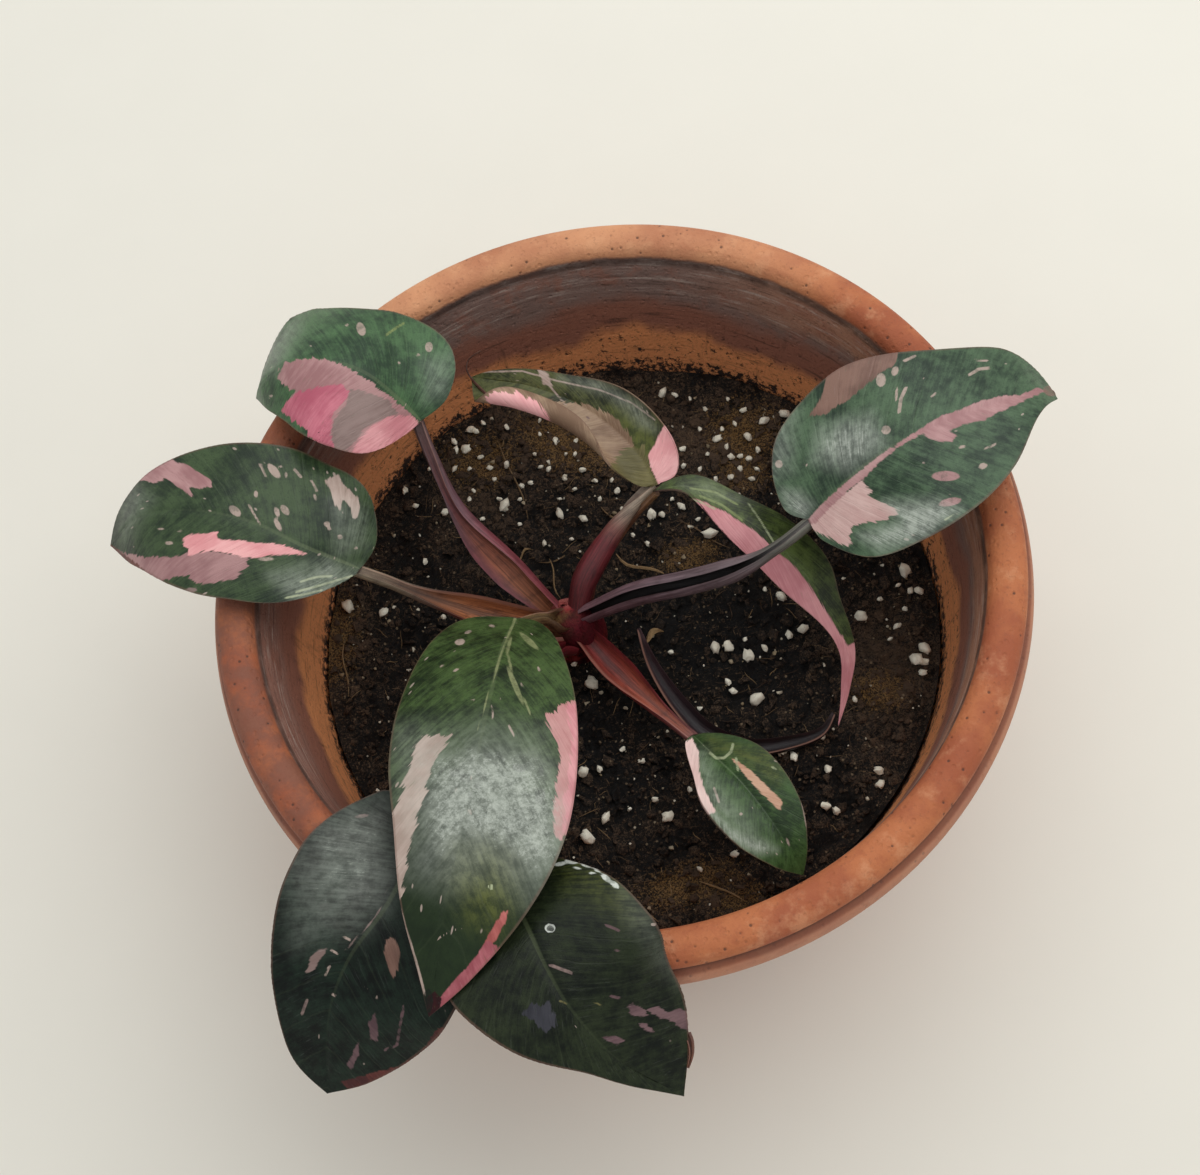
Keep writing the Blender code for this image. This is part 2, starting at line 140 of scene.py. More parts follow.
class Rib:
    # a smooth curve measured by its length, with the directions along, beside and above it
    steps = 80

    def __init__(self, points):
        self.points = [spline(points, k / self.steps) for k in range(self.steps + 1)]
        self.reach = [0.0]
        for a, b in zip(self.points, self.points[1:]):
            self.reach.append(self.reach[-1] + (b - a).length)
        self.length = self.reach[-1]

    def at(self, share):
        wanted = min(max(share, 0), 1) * self.length
        k = max(1, next((i for i, r in enumerate(self.reach) if r >= wanted), self.steps))
        a, b = self.points[k - 1], self.points[k]
        point = a + (b - a) * ((wanted - self.reach[k - 1]) / (self.reach[k] - self.reach[k - 1]))
        low, high = max(k - 3, 0), min(k + 2, self.steps)
        along = (self.points[high] - self.points[low]).normalized()
        low, high = max(k - 16, 0), min(k + 16, self.steps)
        beside = (self.points[high] - self.points[low]).cross(upright).normalized()
        above = beside.cross(along).normalized()
        return point + along * (min(share, 0) * self.length), along, beside, above


# helpers for pieces
def deselectAll():
    if bpy.context.object and bpy.context.object.mode != "OBJECT":
        bpy.ops.object.mode_set(mode="OBJECT")
    bpy.ops.object.select_all(action="DESELECT")


def activate(piece):
    deselectAll()
    piece.select_set(True)
    bpy.context.view_layer.objects.active = piece


def edit(piece, *steps):
    # runs steps of edit mode on all of one piece
    activate(piece)
    bpy.ops.object.mode_set(mode="EDIT")
    bpy.ops.mesh.select_all(action="SELECT")
    for step in steps:
        step()
    bpy.ops.object.mode_set(mode="OBJECT")


def applyModifier(piece, kind, **settings):
    activate(piece)
    modifier = piece.modifiers.new(kind.lower(), kind)
    for key, value in settings.items():
        setattr(modifier, key, value)
    bpy.ops.object.modifier_apply(modifier=modifier.name)


def smoothShade(piece, degrees=40):
    activate(piece)
    bpy.ops.object.shade_smooth_by_angle(angle=math.radians(degrees))


def pieceFrom(name, mesh):
    piece = bpy.data.objects.new(name, mesh)
    bpy.context.scene.collection.objects.link(piece)
    return piece


def finishPiece(piece, name, finish, node):
    piece.name = piece.data.name = name
    piece.data.materials.clear()
    piece.data.materials.append(finish)
    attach(piece, "root")
    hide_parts(node)
    return piece


def pointsOf(piece):
    # the mesh's points in mm, one a row
    points = np.empty(len(piece.data.vertices) * 3)
    piece.data.vertices.foreach_get("co", points)
    return points.reshape(-1, 3) / mm


def mark(piece, name, values):
    # a number for each of the mesh's points, for the materials to read
    attribute = piece.data.attributes.new(name, "FLOAT", "POINT")
    attribute.data.foreach_set("value", values)


def gridPiece(along, across, place):
    # a grid whose points a function of two shares from 0 to 1 places
    deselectAll()
    bpy.ops.mesh.primitive_grid_add(x_subdivisions=along, y_subdivisions=across, size=1)
    piece = bpy.context.object
    for vertex in piece.data.vertices:
        vertex.co = place(vertex.co.x + 0.5, vertex.co.y + 0.5) * mm
    return piece


def drawRings(profile):
    # draws the selected edge out along a profile of (radius, height), and closes its end
    for (radius, height), (nextRadius, nextHeight) in zip(profile, profile[1:]):
        bpy.ops.mesh.extrude_edges_move(
            TRANSFORM_OT_translate={"value": (0, 0, (nextHeight - height) * mm)})
        grow = nextRadius / radius
        bpy.ops.transform.resize(value=(grow, grow, 0), center_override=(0, 0, nextHeight * mm))
    bpy.ops.mesh.edge_face_add()
    bpy.ops.mesh.select_all(action="SELECT")
    bpy.ops.mesh.normals_make_consistent(inside=False)


def turnedPiece(profile, sides):
    # a closed body turned about z, from the first point of its profile on
    radius, height = profile[0]
    deselectAll()
    bpy.ops.mesh.primitive_circle_add(vertices=sides, radius=radius * mm, fill_type="NGON",
                                      location=(0, 0, height * mm))
    piece = bpy.context.object
    bpy.ops.object.transform_apply(location=True)
    edit(piece, lambda: bpy.ops.mesh.select_mode(type="EDGE"), lambda: drawRings(profile))
    return piece


# materials
def paint(code):
    # a colour from its screen values in hex
    return (*(((int(code[k:k + 2], 16) / 255 + 0.055) / 1.055) ** 2.4 for k in (0, 2, 4)), 1)


class Wire:
    # a socket that can be used in sums
    def __init__(self, finish, socket):
        self.finish, self.socket = finish, socket

    def output(self, name):
        return Wire(self.finish, self.socket.node.outputs[name])

    def sum(self, operation, *values):
        return self.finish.node("ShaderNodeMath", {"operation": operation}, dict(enumerate(values)))

    def __add__(self, other):
        return self.sum("ADD", self, other)

    def __radd__(self, other):
        return self.sum("ADD", other, self)

    def __sub__(self, other):
        return self.sum("SUBTRACT", self, other)

    def __rsub__(self, other):
        return self.sum("SUBTRACT", other, self)

    def __mul__(self, other):
        return self.sum("MULTIPLY", self, other)

    def __rmul__(self, other):
        return self.sum("MULTIPLY", other, self)

    def __truediv__(self, other):
        return self.sum("DIVIDE", self, other)

    def __pow__(self, other):
        return self.sum("POWER", self, other)

    def __abs__(self):
        return self.sum("ABSOLUTE", self)

    def fract(self):
        return self.sum("FRACT", self)

    def smooth(self, low, high):
        # 0 up to low, 1 from high, smooth between; low may be the larger
        return self.finish.node("ShaderNodeMapRange", {"interpolation_type": "SMOOTHSTEP"},
                                {"Value": self, "From Min": low, "From Max": high})


class Finish:
    # one material: its nodes and the surface that they feed
    def __init__(self, name):
        self.material = bpy.data.materials.new(name)
        self.material.use_nodes = True
        self.tree = self.material.node_tree
        self.shader = self.tree.nodes["Principled BSDF"]

    def connect(self, node, inputs):
        for key, value in inputs.items():
            if isinstance(value, Wire):
                self.tree.links.new(value.socket, node.inputs[key])
            else:
                node.inputs[key].default_value = value

    def node(self, kind, settings=None, inputs=None, output=0):
        made = self.tree.nodes.new(kind)
        for key, value in (settings or {}).items():
            if key == "stops":
                stops = made.color_ramp.elements
                while len(stops) < len(value):
                    stops.new(1)
                for stop, (position, colour) in zip(stops, value):
                    stop.position, stop.color = position, colour
            else:
                setattr(made, key, value)
        self.connect(made, inputs or {})
        return Wire(self, made.outputs[output])

    def surface(self, **inputs):
        self.connect(self.shader, {key.replace("_", " "): value for key, value in inputs.items()})
        return self.material

    def attribute(self, name):
        return self.node("ShaderNodeAttribute", {"attribute_name": name}, output="Fac")

    def vector(self, x=0.0, y=0.0, z=0.0):
        return self.node("ShaderNodeCombineXYZ", inputs={0: x, 1: y, 2: z})

    def parts(self, vector):
        # the x of a vector; its y and z are other outputs
        return self.node("ShaderNodeSeparateXYZ", {}, {0: vector})

    def onSheet(self):
        # the place on the piece's own UV map, as two shares
        down = self.parts(self.node("ShaderNodeUVMap", {"uv_map": "UVMap"}))
        return down, down.output("Y")

    def stretched(self, vector, factors):
        return self.node("ShaderNodeVectorMath", {"operation": "MULTIPLY"}, {0: vector, 1: factors})

    def places(self):
        # the point's place in mm
        at = self.node("ShaderNodeTexCoord", output="Object")
        return self.node("ShaderNodeVectorMath", {"operation": "SCALE"}, {0: at, "Scale": 1 / mm})

    def noise(self, vector, scale, detail=3.0, roughness=0.55):
        return self.node("ShaderNodeTexNoise", {}, {
            "Vector": vector, "Scale": scale, "Detail": detail, "Roughness": roughness})

    def cells(self, vector, scale):
        # how far the middle of the nearest cell is, and a number drawn for that cell
        reach = self.node("ShaderNodeTexVoronoi", {}, {"Vector": vector, "Scale": scale})
        return reach, self.parts(reach.output("Color"))

    def mix(self, factor, a, b, how="MIX"):
        return self.node("ShaderNodeMix", {"data_type": "RGBA", "blend_type": how},
                         {0: factor, 6: a, 7: b}, output=2)

    def ramp(self, factor, *stops):
        return self.node("ShaderNodeValToRGB", {"stops": stops}, {"Fac": factor})

    def bump(self, height, depth):
        # depth in mm
        return self.node("ShaderNodeBump", {}, {"Height": height, "Distance": depth * mm, "Strength": 1.0})


# the pot
pot = {
    "height": 123, "rimRadius": 125, "rimWidth": 14, "collar": 17, "footRadius": 86, "floor": 10,
    "sides": 192, "drains": 3, "drainRadius": 5, "drainCircle": 46, "drainSides": 32,
    # what lies this close to the inner wall takes the wall's colours
    "wallReach": 1.6,
    "clay": paint("ba6e42"), "darkClay": paint("a05432"), "paleClay": paint("e6ac80"),
    "brown": paint("704632"), "orange": paint("e49660"), "rust": paint("98624e"),
    "dusky": paint("7c4a38"), "grey": paint("866c62"), "lime": paint("c4b4a8"),
    "mudAndShade": paint("281c16"), "bounceLight": paint("b88870"),
}


def innerRadius(height):
    depth = pot["height"] - height
    return pot["rimRadius"] - pot["rimWidth"] - 0.12 * depth - 0.0009 * depth**2


def potProfile():
    top, rim, foot = pot["height"], pot["rimRadius"], pot["footRadius"]
    inner, low, floor = rim - pot["rimWidth"], top - pot["collar"], pot["floor"]
    outside = [(foot - 2, 0), (foot, 2), (foot + 5, 16), (foot + 10, 30), (foot + 15, 45),
               (foot + 20, 60), (foot + 25, 81), (foot + 30, low - 3), (rim - 5, low - 1.5),
               (rim - 2, low), (rim, low + 2.5)]
    lip = [(rim + 0.2, low + 5), (rim - 0.2, low + 7.5), (rim - 1.2, top - 7.8), (rim - 3, top - 6.8),
           (rim - 3.3, top - 6.2), (rim - 2.5, top - 5.4), (rim - 2.2, top - 4.2), (rim - 2.6, top - 2.8),
           (rim - 3.8, top - 1.3), (rim - 6, top - 0.2), (rim - 8.5, top), (rim - 11, top - 0.5),
           (inner + 1.2, top - 1.7), (inner + 0.2, top - 3.5)]
    inside = [(innerRadius(height), height) for height in (112, 104, 94, 84, 74, 62, 50, 36, 22)]
    return [*outside, *lip, *inside, (innerRadius(floor) - 2, floor + 3), (innerRadius(floor) - 8, floor)]


def potFinish():
    clay = Finish("terracotta")
    place = clay.places()
    x = clay.parts(place)
    y, z = x.output("Y"), x.output("Z")
    radius = (x * x + y * y) ** 0.5
    ringX, ringY = x / radius, y / radius
    clouds = clay.noise(place, 0.035, 4)
    patches = clay.noise(place, 0.12, 5, 0.65)
    grain = clay.noise(place, 0.9, 4, 0.7)
    colour = clay.mix(clouds.smooth(0.4, 0.62), pot["clay"], pot["darkClay"])
    colour = clay.mix(patches.smooth(0.5, 0.7) * 0.3, colour, pot["paleClay"])
    colour = clay.mix(patches.smooth(0.47, 0.32) * 0.5, colour, pot["darkClay"])
    # paler towards the back of the pot, where the lamp falls: a painted highlight
    colour = clay.mix(ringY.smooth(0.55, 0.95) * (1 - clouds), colour, pot["paleClay"])
    colour = clay.mix(grain.smooth(0.54, 0.72) * 0.35, colour, pot["brown"])
    # the rim is damp and darker on the left, and has dark pores all over
    dusky = (ringX * -1).smooth(0.5, 0.95) * (z.smooth(100, 108))
    colour = clay.mix(dusky * patches.smooth(0.25, 0.6) * 0.9, colour, pot["dusky"])
    pores, drawn = clay.cells(place, 0.36)
    colour = clay.mix(pores.smooth(0.2, 0.1) * drawn.smooth(0.35, 0.3) * 0.7, colour, pot["mudAndShade"])
    # outside: faint rings from throwing, and painted shade in the groove below the collar
    rings = clay.noise(clay.vector(ringX * 4, ringY * 4, z), 0.35, 4)
    colour = clay.mix(rings.smooth(0.52, 0.66) * 0.3, colour, pot["darkClay"])
    colour = clay.mix((z.smooth(101, 104) * z.smooth(108, 105)) * 0.5, colour, pot["brown"])
    # the collar below the lip is paler, painted bounce light from the floor, with a dark line of painted
    # shade in the groove under the lip between them
    colour = clay.mix((z.smooth(105, 107) * z.smooth(116, 114)) * 0.55, colour, pot["bounceLight"])
    line = z + (patches - 0.5) * 2
    colour = clay.mix((line.smooth(113.8, 115.6) * line.smooth(119.4, 117.6)) * 0.8, colour, pot["dusky"])
    colour = clay.mix((z.smooth(115.6, 116.3) * z.smooth(117.6, 117)) * 0.6, colour, pot["mudAndShade"])
    # the inner wall in bands: orange and moist by the soil, rust above, grey under the lip
    level = z + (clay.noise(clay.vector(ringX * 60, ringY * 60, z * 0.4), 0.05, 4) - 0.5) * 30
    wall = clay.mix(level.smooth(79, 86), pot["orange"], pot["rust"])
    left = (ringX * -1).smooth(0.5, 0.9)
    wall = clay.mix(level.smooth(91, 101) * (1 - left * 0.6), wall, pot["grey"])
    wall = clay.mix((ringX.smooth(0.3, 0.9) * level.smooth(98, 106)) * 0.35, wall, pot["orange"])
    wall = clay.mix(patches.smooth(0.46, 0.66) * level.smooth(80, 90) * 0.6, wall, pot["rust"])
    streaks = clay.noise(clay.vector(ringX * 14, ringY * 14, z * 1.4), 0.5, 5, 0.7)
    wall = clay.mix(streaks.smooth(0.5, 0.7) * level.smooth(96, 104) * 0.6, wall, pot["lime"])
    wall = clay.mix(streaks.smooth(0.47, 0.3) * 0.55, wall, pot["mudAndShade"])
    runs = clay.noise(clay.vector(ringX * 60, ringY * 60, z * 0.1), 0.5, 4)
    wall = clay.mix(runs.smooth(0.58, 0.74) * z.smooth(98, 84) * 0.4, wall, pot["mudAndShade"])
    dirt = clay.noise(place, 0.42, 6, 0.75)
    clean = 1 - left * z.smooth(66, 70) * 0.7
    wall = clay.mix((dirt + z.smooth(72, 66) * 0.12).smooth(0.56, 0.64) * z.smooth(97, 76) * clean,
                    wall, pot["mudAndShade"])
    wall = clay.mix(grain.smooth(0.52, 0.74) * 0.4, wall, pot["mudAndShade"])
    # a dark band just under the lip: dirt together with painted shade beneath its overhang
    wall = clay.mix(z.smooth(113.5, 116.5) * (0.5 + 0.5 * patches.smooth(0.3, 0.6)) * 0.75, wall, pot["mudAndShade"])
    edge = z + (patches - 0.5) * 3
    colour = clay.mix(clay.attribute("inside") * edge.smooth(119.6, 117.4), colour, wall)
    height = grain * 0.6 + pores.smooth(0.3, 0.1) * -0.4 + rings * 0.5 + patches * 0.5
    return clay.surface(Base_Color=colour, Roughness=0.82 - 0.2 * dirt, Normal=clay.bump(height, 0.5))


def makePot():
    piece = turnedPiece(potProfile(), pot["sides"])
    for k in range(pot["drains"]):
        turn, reach = tau * (k + 0.5) / pot["drains"], pot["drainCircle"] * mm
        deselectAll()
        bpy.ops.mesh.primitive_cylinder_add(
            vertices=pot["drainSides"], radius=pot["drainRadius"] * mm, depth=3 * pot["floor"] * mm,
            location=(reach * math.cos(turn), reach * math.sin(turn), 0))
        drill = bpy.context.object
        applyModifier(piece, "BOOLEAN", operation="DIFFERENCE", object=drill)
        bpy.data.objects.remove(drill)
    # the points by which the finish knows the inner wall
    x, y, z = pointsOf(piece).T
    onWall = np.hypot(x, y) < innerRadius(z) + pot["wallReach"]
    mark(piece, "inside", (onWall & (z > pot["floor"] - 1)).astype(float))
    smoothShade(piece)
    finishPiece(piece, "pot_thrown", potFinish(), "pot")


makePot()
print("pot thrown")


# the soil
soil = {
    # reach: how far from the middle loose things that the photograph shows may lie
    "top": 65, "reach": 95, "cells": 250, "lumps": 1.1, "crumb": 0.8,
    # height and gap to the pot's wall, downwards
    "wall": ((59, 1.2), (40, 1.2), (22, 1.2), (10.4, 9)),
    "black": paint("070504"), "dark": paint("241c15"), "brown": paint("624e3d"),
    "fibre": paint("927658"), "speck": paint("9c866a"), "moss": paint("a8804a"),
    # mossy spots: pixel, half lengths, turn
    "mossy": ((690, 555, 28, 15, -10), (745, 430, 34, 26, 0), (690, 884, 44, 18, -15),
              (565, 445, 44, 22, 20), (480, 460, 34, 24, 0), (330, 640, 26, 40, 10),
              (740, 900, 26, 12, -20), (880, 690, 26, 18, 0), (744, 470, 26, 18, 0)),
    # dry, lighter spots and dark, wet ones: pixel, half lengths, turn, how dry
    "dry": ((590, 425, 150, 70, 5, 1.7), (745, 468, 30, 22, 0, 1.6), (684, 555, 28, 18, 0, 1.4),
            (330, 650, 60, 110, 0, 0.9), (480, 520, 70, 90, 0, 0.6), (740, 440, 80, 60, 0, 0.8),
            (710, 890, 90, 44, -15, 1.0), (890, 680, 70, 100, 0, 1.3), (700, 650, 130, 80, 0, -1.0),
            (610, 760, 70, 90, 0, -0.6), (450, 610, 60, 50, 0, -0.6)),
}


def soilHeight(x, y):
    swell = 1.6 * math.sin(x / 19 + 0.7) * math.cos(y / 23 - 0.4)
    lumps = 1.1 * math.sin(x / 5.3 + 1.9 * math.sin(y / 7.1)) * math.sin(y / 6.1 + 1.3)
    return soil["top"] + swell + lumps


def onSoil(u, v):
    # where the camera sees the soil at a pixel of the photograph
    point = underPixel(u, v, soil["top"])
    for _ in range(3):
        point = underPixel(u, v, soilHeight(point.x, point.y))
    shrink = min(1, soil["reach"] / math.hypot(point.x, point.y))
    x, y = point.x * shrink, point.y * shrink
    return Vector((x, y, soilHeight(x, y)))


def spotShare(pixels, spot):
    # 1 in the middle of a spot, 0 at its edge and below 0 outside
    return dabDepth(pixels, *spot) / min(spot[2:4])


def markDry(piece):
    pixels = pixelsOf(pointsOf(piece))
    mark(piece, "dry", sum(amount * np.clip(spotShare(pixels, spot), 0, 1) for *spot, amount in soil["dry"]))


def soilFinish(name="soil", lift=0.0, mossy=False):
    mulch = Finish(name)
    place = mulch.places()
    coarse = mulch.noise(place, 0.1, 5, 0.6)
    fine = mulch.noise(place, 0.8, 6, 0.8)
    grit = mulch.noise(place, 1.9, 4, 0.75)
    dryness = mulch.attribute("dry") * 0.09 + lift
    blend = fine * 0.6 + coarse * 0.4 + dryness
    colour = mulch.mix(blend.smooth(0.46, 0.58), soil["black"], soil["dark"])
    gritty = (grit * 0.5 + blend * 0.5 + dryness * 0.5).smooth(0.52, 0.6)
    colour = mulch.mix(gritty * 0.85, colour, soil["brown"])
    toned = mulch.attribute("tone").smooth(0.5, 1) * grit.smooth(0.4, 0.55)
    colour = mulch.mix(toned * 0.6, colour, soil["brown"])
    colour = mulch.mix(grit.smooth(0.62, 0.7) * 0.5, colour, soil["fibre"])
    # threads of coir, which lie in two ways
    for factors in ((0.25, 1.6, 1), (1.5, 0.3, 1)):
        threads = mulch.noise(mulch.stretched(place, factors), 1.1, 4, 0.6)
        colour = mulch.mix(threads.smooth(0.62, 0.67) * coarse.smooth(0.42, 0.6) * 0.6, colour, soil["fibre"])
    # pale specks in some of the cells
    cell, drawn = mulch.cells(place, 0.62)
    colour = mulch.mix(drawn.smooth(0.1, 0.06) * cell.smooth(0.32, 0.2) * 0.7, colour, soil["speck"])
    if mossy:
        spots = (mulch.attribute("mossy") * 0.2 + fine - 0.52).smooth(-0.02, 0.1)
        moss = mulch.mix(grit.smooth(0.42, 0.6), soil["dark"], soil["moss"])
        colour = mulch.mix(spots * 0.75, colour, moss)
    wet = coarse.smooth(0.5, 0.42)
    return mulch.surface(Base_Color=colour, Roughness=0.92 - 0.5 * wet, Specular_IOR_Level=0.35,
                         Normal=mulch.bump(fine + 0.5 * coarse, 1.6))


def makeSoil():
    edge = innerRadius(soil["top"]) - 1

    def place(across, along):
        # a square sheet drawn to a disc, with the swells of the CAD and finer lumps on them
        a, b = 2 * across - 1, 2 * along - 1
        x, y = edge * a * math.sqrt(1 - b * b / 2), edge * b * math.sqrt(1 - a * a / 2)
        spot = Vector((x, y, 0))
        lumps = soil["lumps"] * noise.fractal(spot / 4.2, 1.0, 2.0, 3)
        crumbs = soil["crumb"] * noise.turbulence(spot / 1.5, 3, True)
        hollow = eased((math.hypot(x, y) - edge + 2) / 2)
        return Vector((x, y, soilHeight(x, y) + (lumps + crumbs - 0.4) * (1 - hollow)))

    piece = gridPiece(soil["cells"], soil["cells"], place)
    # the sheet's edge goes down along the pot's wall, and the bottom is closed
    wall = [(innerRadius(height) - gap, height) for height, gap in soil["wall"]]
    edit(piece, lambda: bpy.ops.mesh.select_mode(type="EDGE"), bpy.ops.mesh.region_to_loop,
         lambda: drawRings([(edge, soil["top"]), *wall]))
    smoothShade(piece, 60)
    pixels = pixelsOf(pointsOf(piece))
    spots = np.max([spotShare(pixels, spot) for spot in soil["mossy"]], axis=0)
    mark(piece, "mossy", np.clip(spots + 0.3, -1, 1))
    markDry(piece)
    finishPiece(piece, "soil_bed", soilFinish(mossy=True), "soil")


makeSoil()
print("soil laid")


# loose things on the soil: each is shaped once and copied
def grainShape(seed, roughness, subdivisions=2):
    deselectAll()
    bpy.ops.mesh.primitive_ico_sphere_add(subdivisions=subdivisions, radius=1)
    model = bpy.context.object
    shift = Vector((seed * 7.3, seed * 3.1, seed))
    for vertex in model.data.vertices:
        lobes = noise.noise(vertex.co * 1.3 + shift) * 1.6 + noise.noise(vertex.co * 2.8 + shift) * 0.9
        vertex.co *= 1 + roughness * lobes
    mesh = model.data
    bpy.data.objects.remove(model)
    return mesh


def scatter(name, models, places, finish):
    # copies of the models in one mesh, each at its (point, size in x y z, turn about z, tilt, tone)
    heap = bmesh.new()
    tones = []
    for number, (point, size, turn, tilt, tone) in enumerate(places):
        before = len(heap.verts)
        heap.from_mesh(models[number % len(models)])
        heap.verts.ensure_lookup_table()
        added = heap.verts[before:]
        moved = (Matrix.Translation(point * mm) @ Matrix.Rotation(turn, 4, "Z")
                 @ Matrix.Rotation(tilt, 4, "X") @ Matrix.Diagonal((*(s * mm for s in size), 1)))
        bmesh.ops.transform(heap, matrix=moved, verts=added)
        tones += [tone] * len(added)
    mesh = bpy.data.meshes.new(name)
    heap.to_mesh(mesh)
    heap.free()
    piece = pieceFrom(name, mesh)
    mark(piece, "tone", tones)
    smoothShade(piece, 80)
    return finishPiece(piece, name, finish, "soil")


# perlite: pixel of the photograph and length in mm of each grain that is seen, and small
# crumbs between them, a share of which are larger
perlite = {
    "seed": 21, "shapes": 7, "roughness": 0.38, "sunk": 0.45,
    "crumbs": 470, "crumbShapes": 5, "crumbSize": (0.22, 0.5), "common": 0.8, "larger": 2.2, "within": 96,
    "white": paint("fffae6"), "dusty": paint("968466"), "stain": paint("786246"),
    "seen": (
        (466, 450, 3.6), (556, 442, 2.6), (507, 466, 3.2), (505, 507, 4.2), (584, 520, 3.2),
        (445, 513, 2.8), (545, 544, 2.4), (633, 536, 1.4), (652, 516, 4.0), (662, 516, 2.8),
        (541, 468, 2.0), (549, 470, 2.0), (583, 471, 2.6), (596, 482, 2.0), (531, 484, 1.8),
        (463, 420, 3.0), (507, 428, 2.4), (402, 488, 2.2), (416, 507, 2.2), (444, 618, 2.0),
        (617, 492, 2.4), (349, 607, 4.6), (384, 613, 3.2), (790, 407, 4.4), (710, 535, 5.2),
        (682, 508, 3.2), (715, 649, 4.4), (729, 648, 4.0), (748, 657, 4.2), (765, 649, 2.8),
        (803, 630, 4.2), (789, 636, 2.8), (917, 661, 4.6), (931, 650, 4.8), (944, 663, 3.4),
        (944, 675, 2.8), (905, 572, 4.4), (861, 618, 4.4), (728, 683, 2.4), (733, 692, 2.4),
        (757, 700, 4.4), (623, 750, 2.4), (642, 762, 2.2), (600, 770, 2.4), (584, 773, 4.2),
        (782, 754, 3.0), (794, 758, 3.4), (822, 737, 2.6), (828, 770, 3.2), (879, 772, 3.4),
        (880, 785, 2.8), (588, 838, 5.6), (671, 653, 2.0), (663, 394, 3.6), (675, 396, 2.4),
        (743, 411, 2.6), (717, 440, 3.4), (764, 422, 3.8), (748, 438, 3.6), (727, 448, 2.2),
        (731, 458, 2.4), (749, 460, 2.2), (683, 450, 2.4), (820, 600, 2.0), (897, 627, 2.6),
        (930, 590, 3.4), (898, 586, 1.8), (910, 592, 2.6), (855, 700, 2.0), (690, 790, 2.0),
        (655, 800, 2.2), (735, 800, 2.4), (630, 810, 1.8), (700, 870, 2.2), (735, 855, 2.6),
        (748, 843, 2.0), (470, 500, 1.8), (490, 540, 1.8), (385, 480, 2.2), (430, 470, 1.8),
        (560, 500, 1.8), (600, 450, 2.0), (575, 455, 1.8), (520, 500, 1.6), (495, 480, 1.8),
        (592, 684, 5.0), (575, 664, 3.4), (606, 819, 4.0), (668, 818, 4.0), (781, 598, 4.0),
        (826, 807, 3.8), (836, 812, 2.8), (560, 515, 3.6), (684, 467, 2.4), (476, 432, 2.8),
        (612, 481, 1.8), (622, 510, 1.8), (740, 457, 2.2), (731, 478, 2.4), (758, 451, 2.2),
        (740, 470, 2.6), (752, 480, 2.2), (490, 469, 2.0), (481, 458, 2.0), (474, 492, 1.8),
        (522, 487, 1.8), (576, 442, 2.0), (566, 455, 1.6), (600, 500, 1.8), (572, 540, 1.6),
        (612, 530, 2.0), (596, 560, 1.6), (648, 545, 2.0), (535, 455, 1.6), (470, 470, 1.8),
        (455, 470, 2.4), (452, 440, 2.6), (470, 405, 2.0), (500, 500, 2.0), (483, 520, 1.8),
        (520, 525, 1.6), (565, 480, 2.0), (575, 490, 1.6), (610, 460, 1.6), (540, 435, 1.6),
        (700, 430, 2.0), (708, 455, 1.8), (700, 470, 2.0), (716, 480, 2.2), (722, 430, 1.8),
        (735, 425, 2.0), (757, 470, 1.8), (690, 400, 2.0), (705, 410, 1.6), (728, 400, 1.6),
        (672, 500, 2.0), (698, 520, 1.6), (715, 500, 1.8), (765, 590, 1.6), (700, 590, 1.8),
        (745, 640, 1.6), (880, 600, 2.0), (905, 610, 2.2), (890, 640, 1.8), (456, 452, 3.2),
    ),
}


def between(rng, low, high):
    # nothing is drawn if both are the same
    return low if low == high else rng.uniform(low, high)


def spotOnSoil(rng, within):
    turn, reach = rng.uniform(0, tau), within * math.sqrt(rng.random())
    x, y = reach * math.cos(turn), reach * math.sin(turn)
    return Vector((x, y, soilHeight(x, y)))


def perliteFinish():
    chalk = Finish("perlite")
    place = chalk.places()
    tone = chalk.attribute("tone")
    fine = chalk.noise(place, 1.6, 4, 0.7)
    colour = chalk.mix(tone, perlite["dusty"], perlite["white"])
    colour = chalk.mix(fine.smooth(0.56, 0.74) * 0.6, colour, perlite["stain"])
    return chalk.surface(Base_Color=colour, Roughness=0.85, Normal=chalk.bump(fine, 0.4))


def makePerlite():
    rng = random.Random(perlite["seed"])
    models = [grainShape(seed, perlite["roughness"]) for seed in range(perlite["shapes"])]
    places = []
    for u, v, length in perlite["seen"]:
        point = onSoil(u, v)
        size = length / 2
        point.z += perlite["sunk"] * size + 0.4
        places.append((point, (size * rng.uniform(0.9, 1.1), size * rng.uniform(0.6, 0.85),
                               size * rng.uniform(0.6, 0.8)),
                       rng.uniform(0, tau), rng.uniform(-0.4, 0.4), rng.uniform(0.75, 1)))
    white = perliteFinish()
    scatter("perlite_grains", models, places, white)
    models = [grainShape(seed + 10, 0.6, 1) for seed in range(perlite["crumbShapes"])]
    places = []
    for _ in range(perlite["crumbs"]):
        point = spotOnSoil(rng, perlite["within"])
        size = rng.uniform(*perlite["crumbSize"])
        size *= 1 if rng.random() < perlite["common"] else perlite["larger"]
        point.z += 0.5
        places.append((point, (size, size * rng.uniform(0.5, 0.9), size * 0.8),
                       rng.uniform(0, tau), rng.uniform(-0.5, 0.5), rng.random() ** 1.6))
    scatter("perlite_crumbs", models, places, white)


makePerlite()


# crumbs of peat and bark: their half width in mm, length and thickness as shares of it, how
# high their middles lie in half widths and in mm, and how much lighter than the soil they are
crumbs = {
    "seed": 33, "within": 98, "tilt": 0.6, "roughness": 0.9,
    "kinds": (
        {"name": "peat_crumbs", "finish": "peat", "lift": 0.04, "count": 1100, "shapes": range(20, 26),
         "size": (0.6, 1.7), "long": (1, 1.6), "thick": (0.5, 0.9), "rise": (0.15, 0)},
        {"name": "fine_crumbs", "finish": "fine peat", "lift": 0.07, "count": 1900, "shapes": range(40, 44),
         "size": (0.3, 0.75), "long": (1, 2), "thick": (0.8, 0.8), "rise": (0, 0.5)},
    ),
}


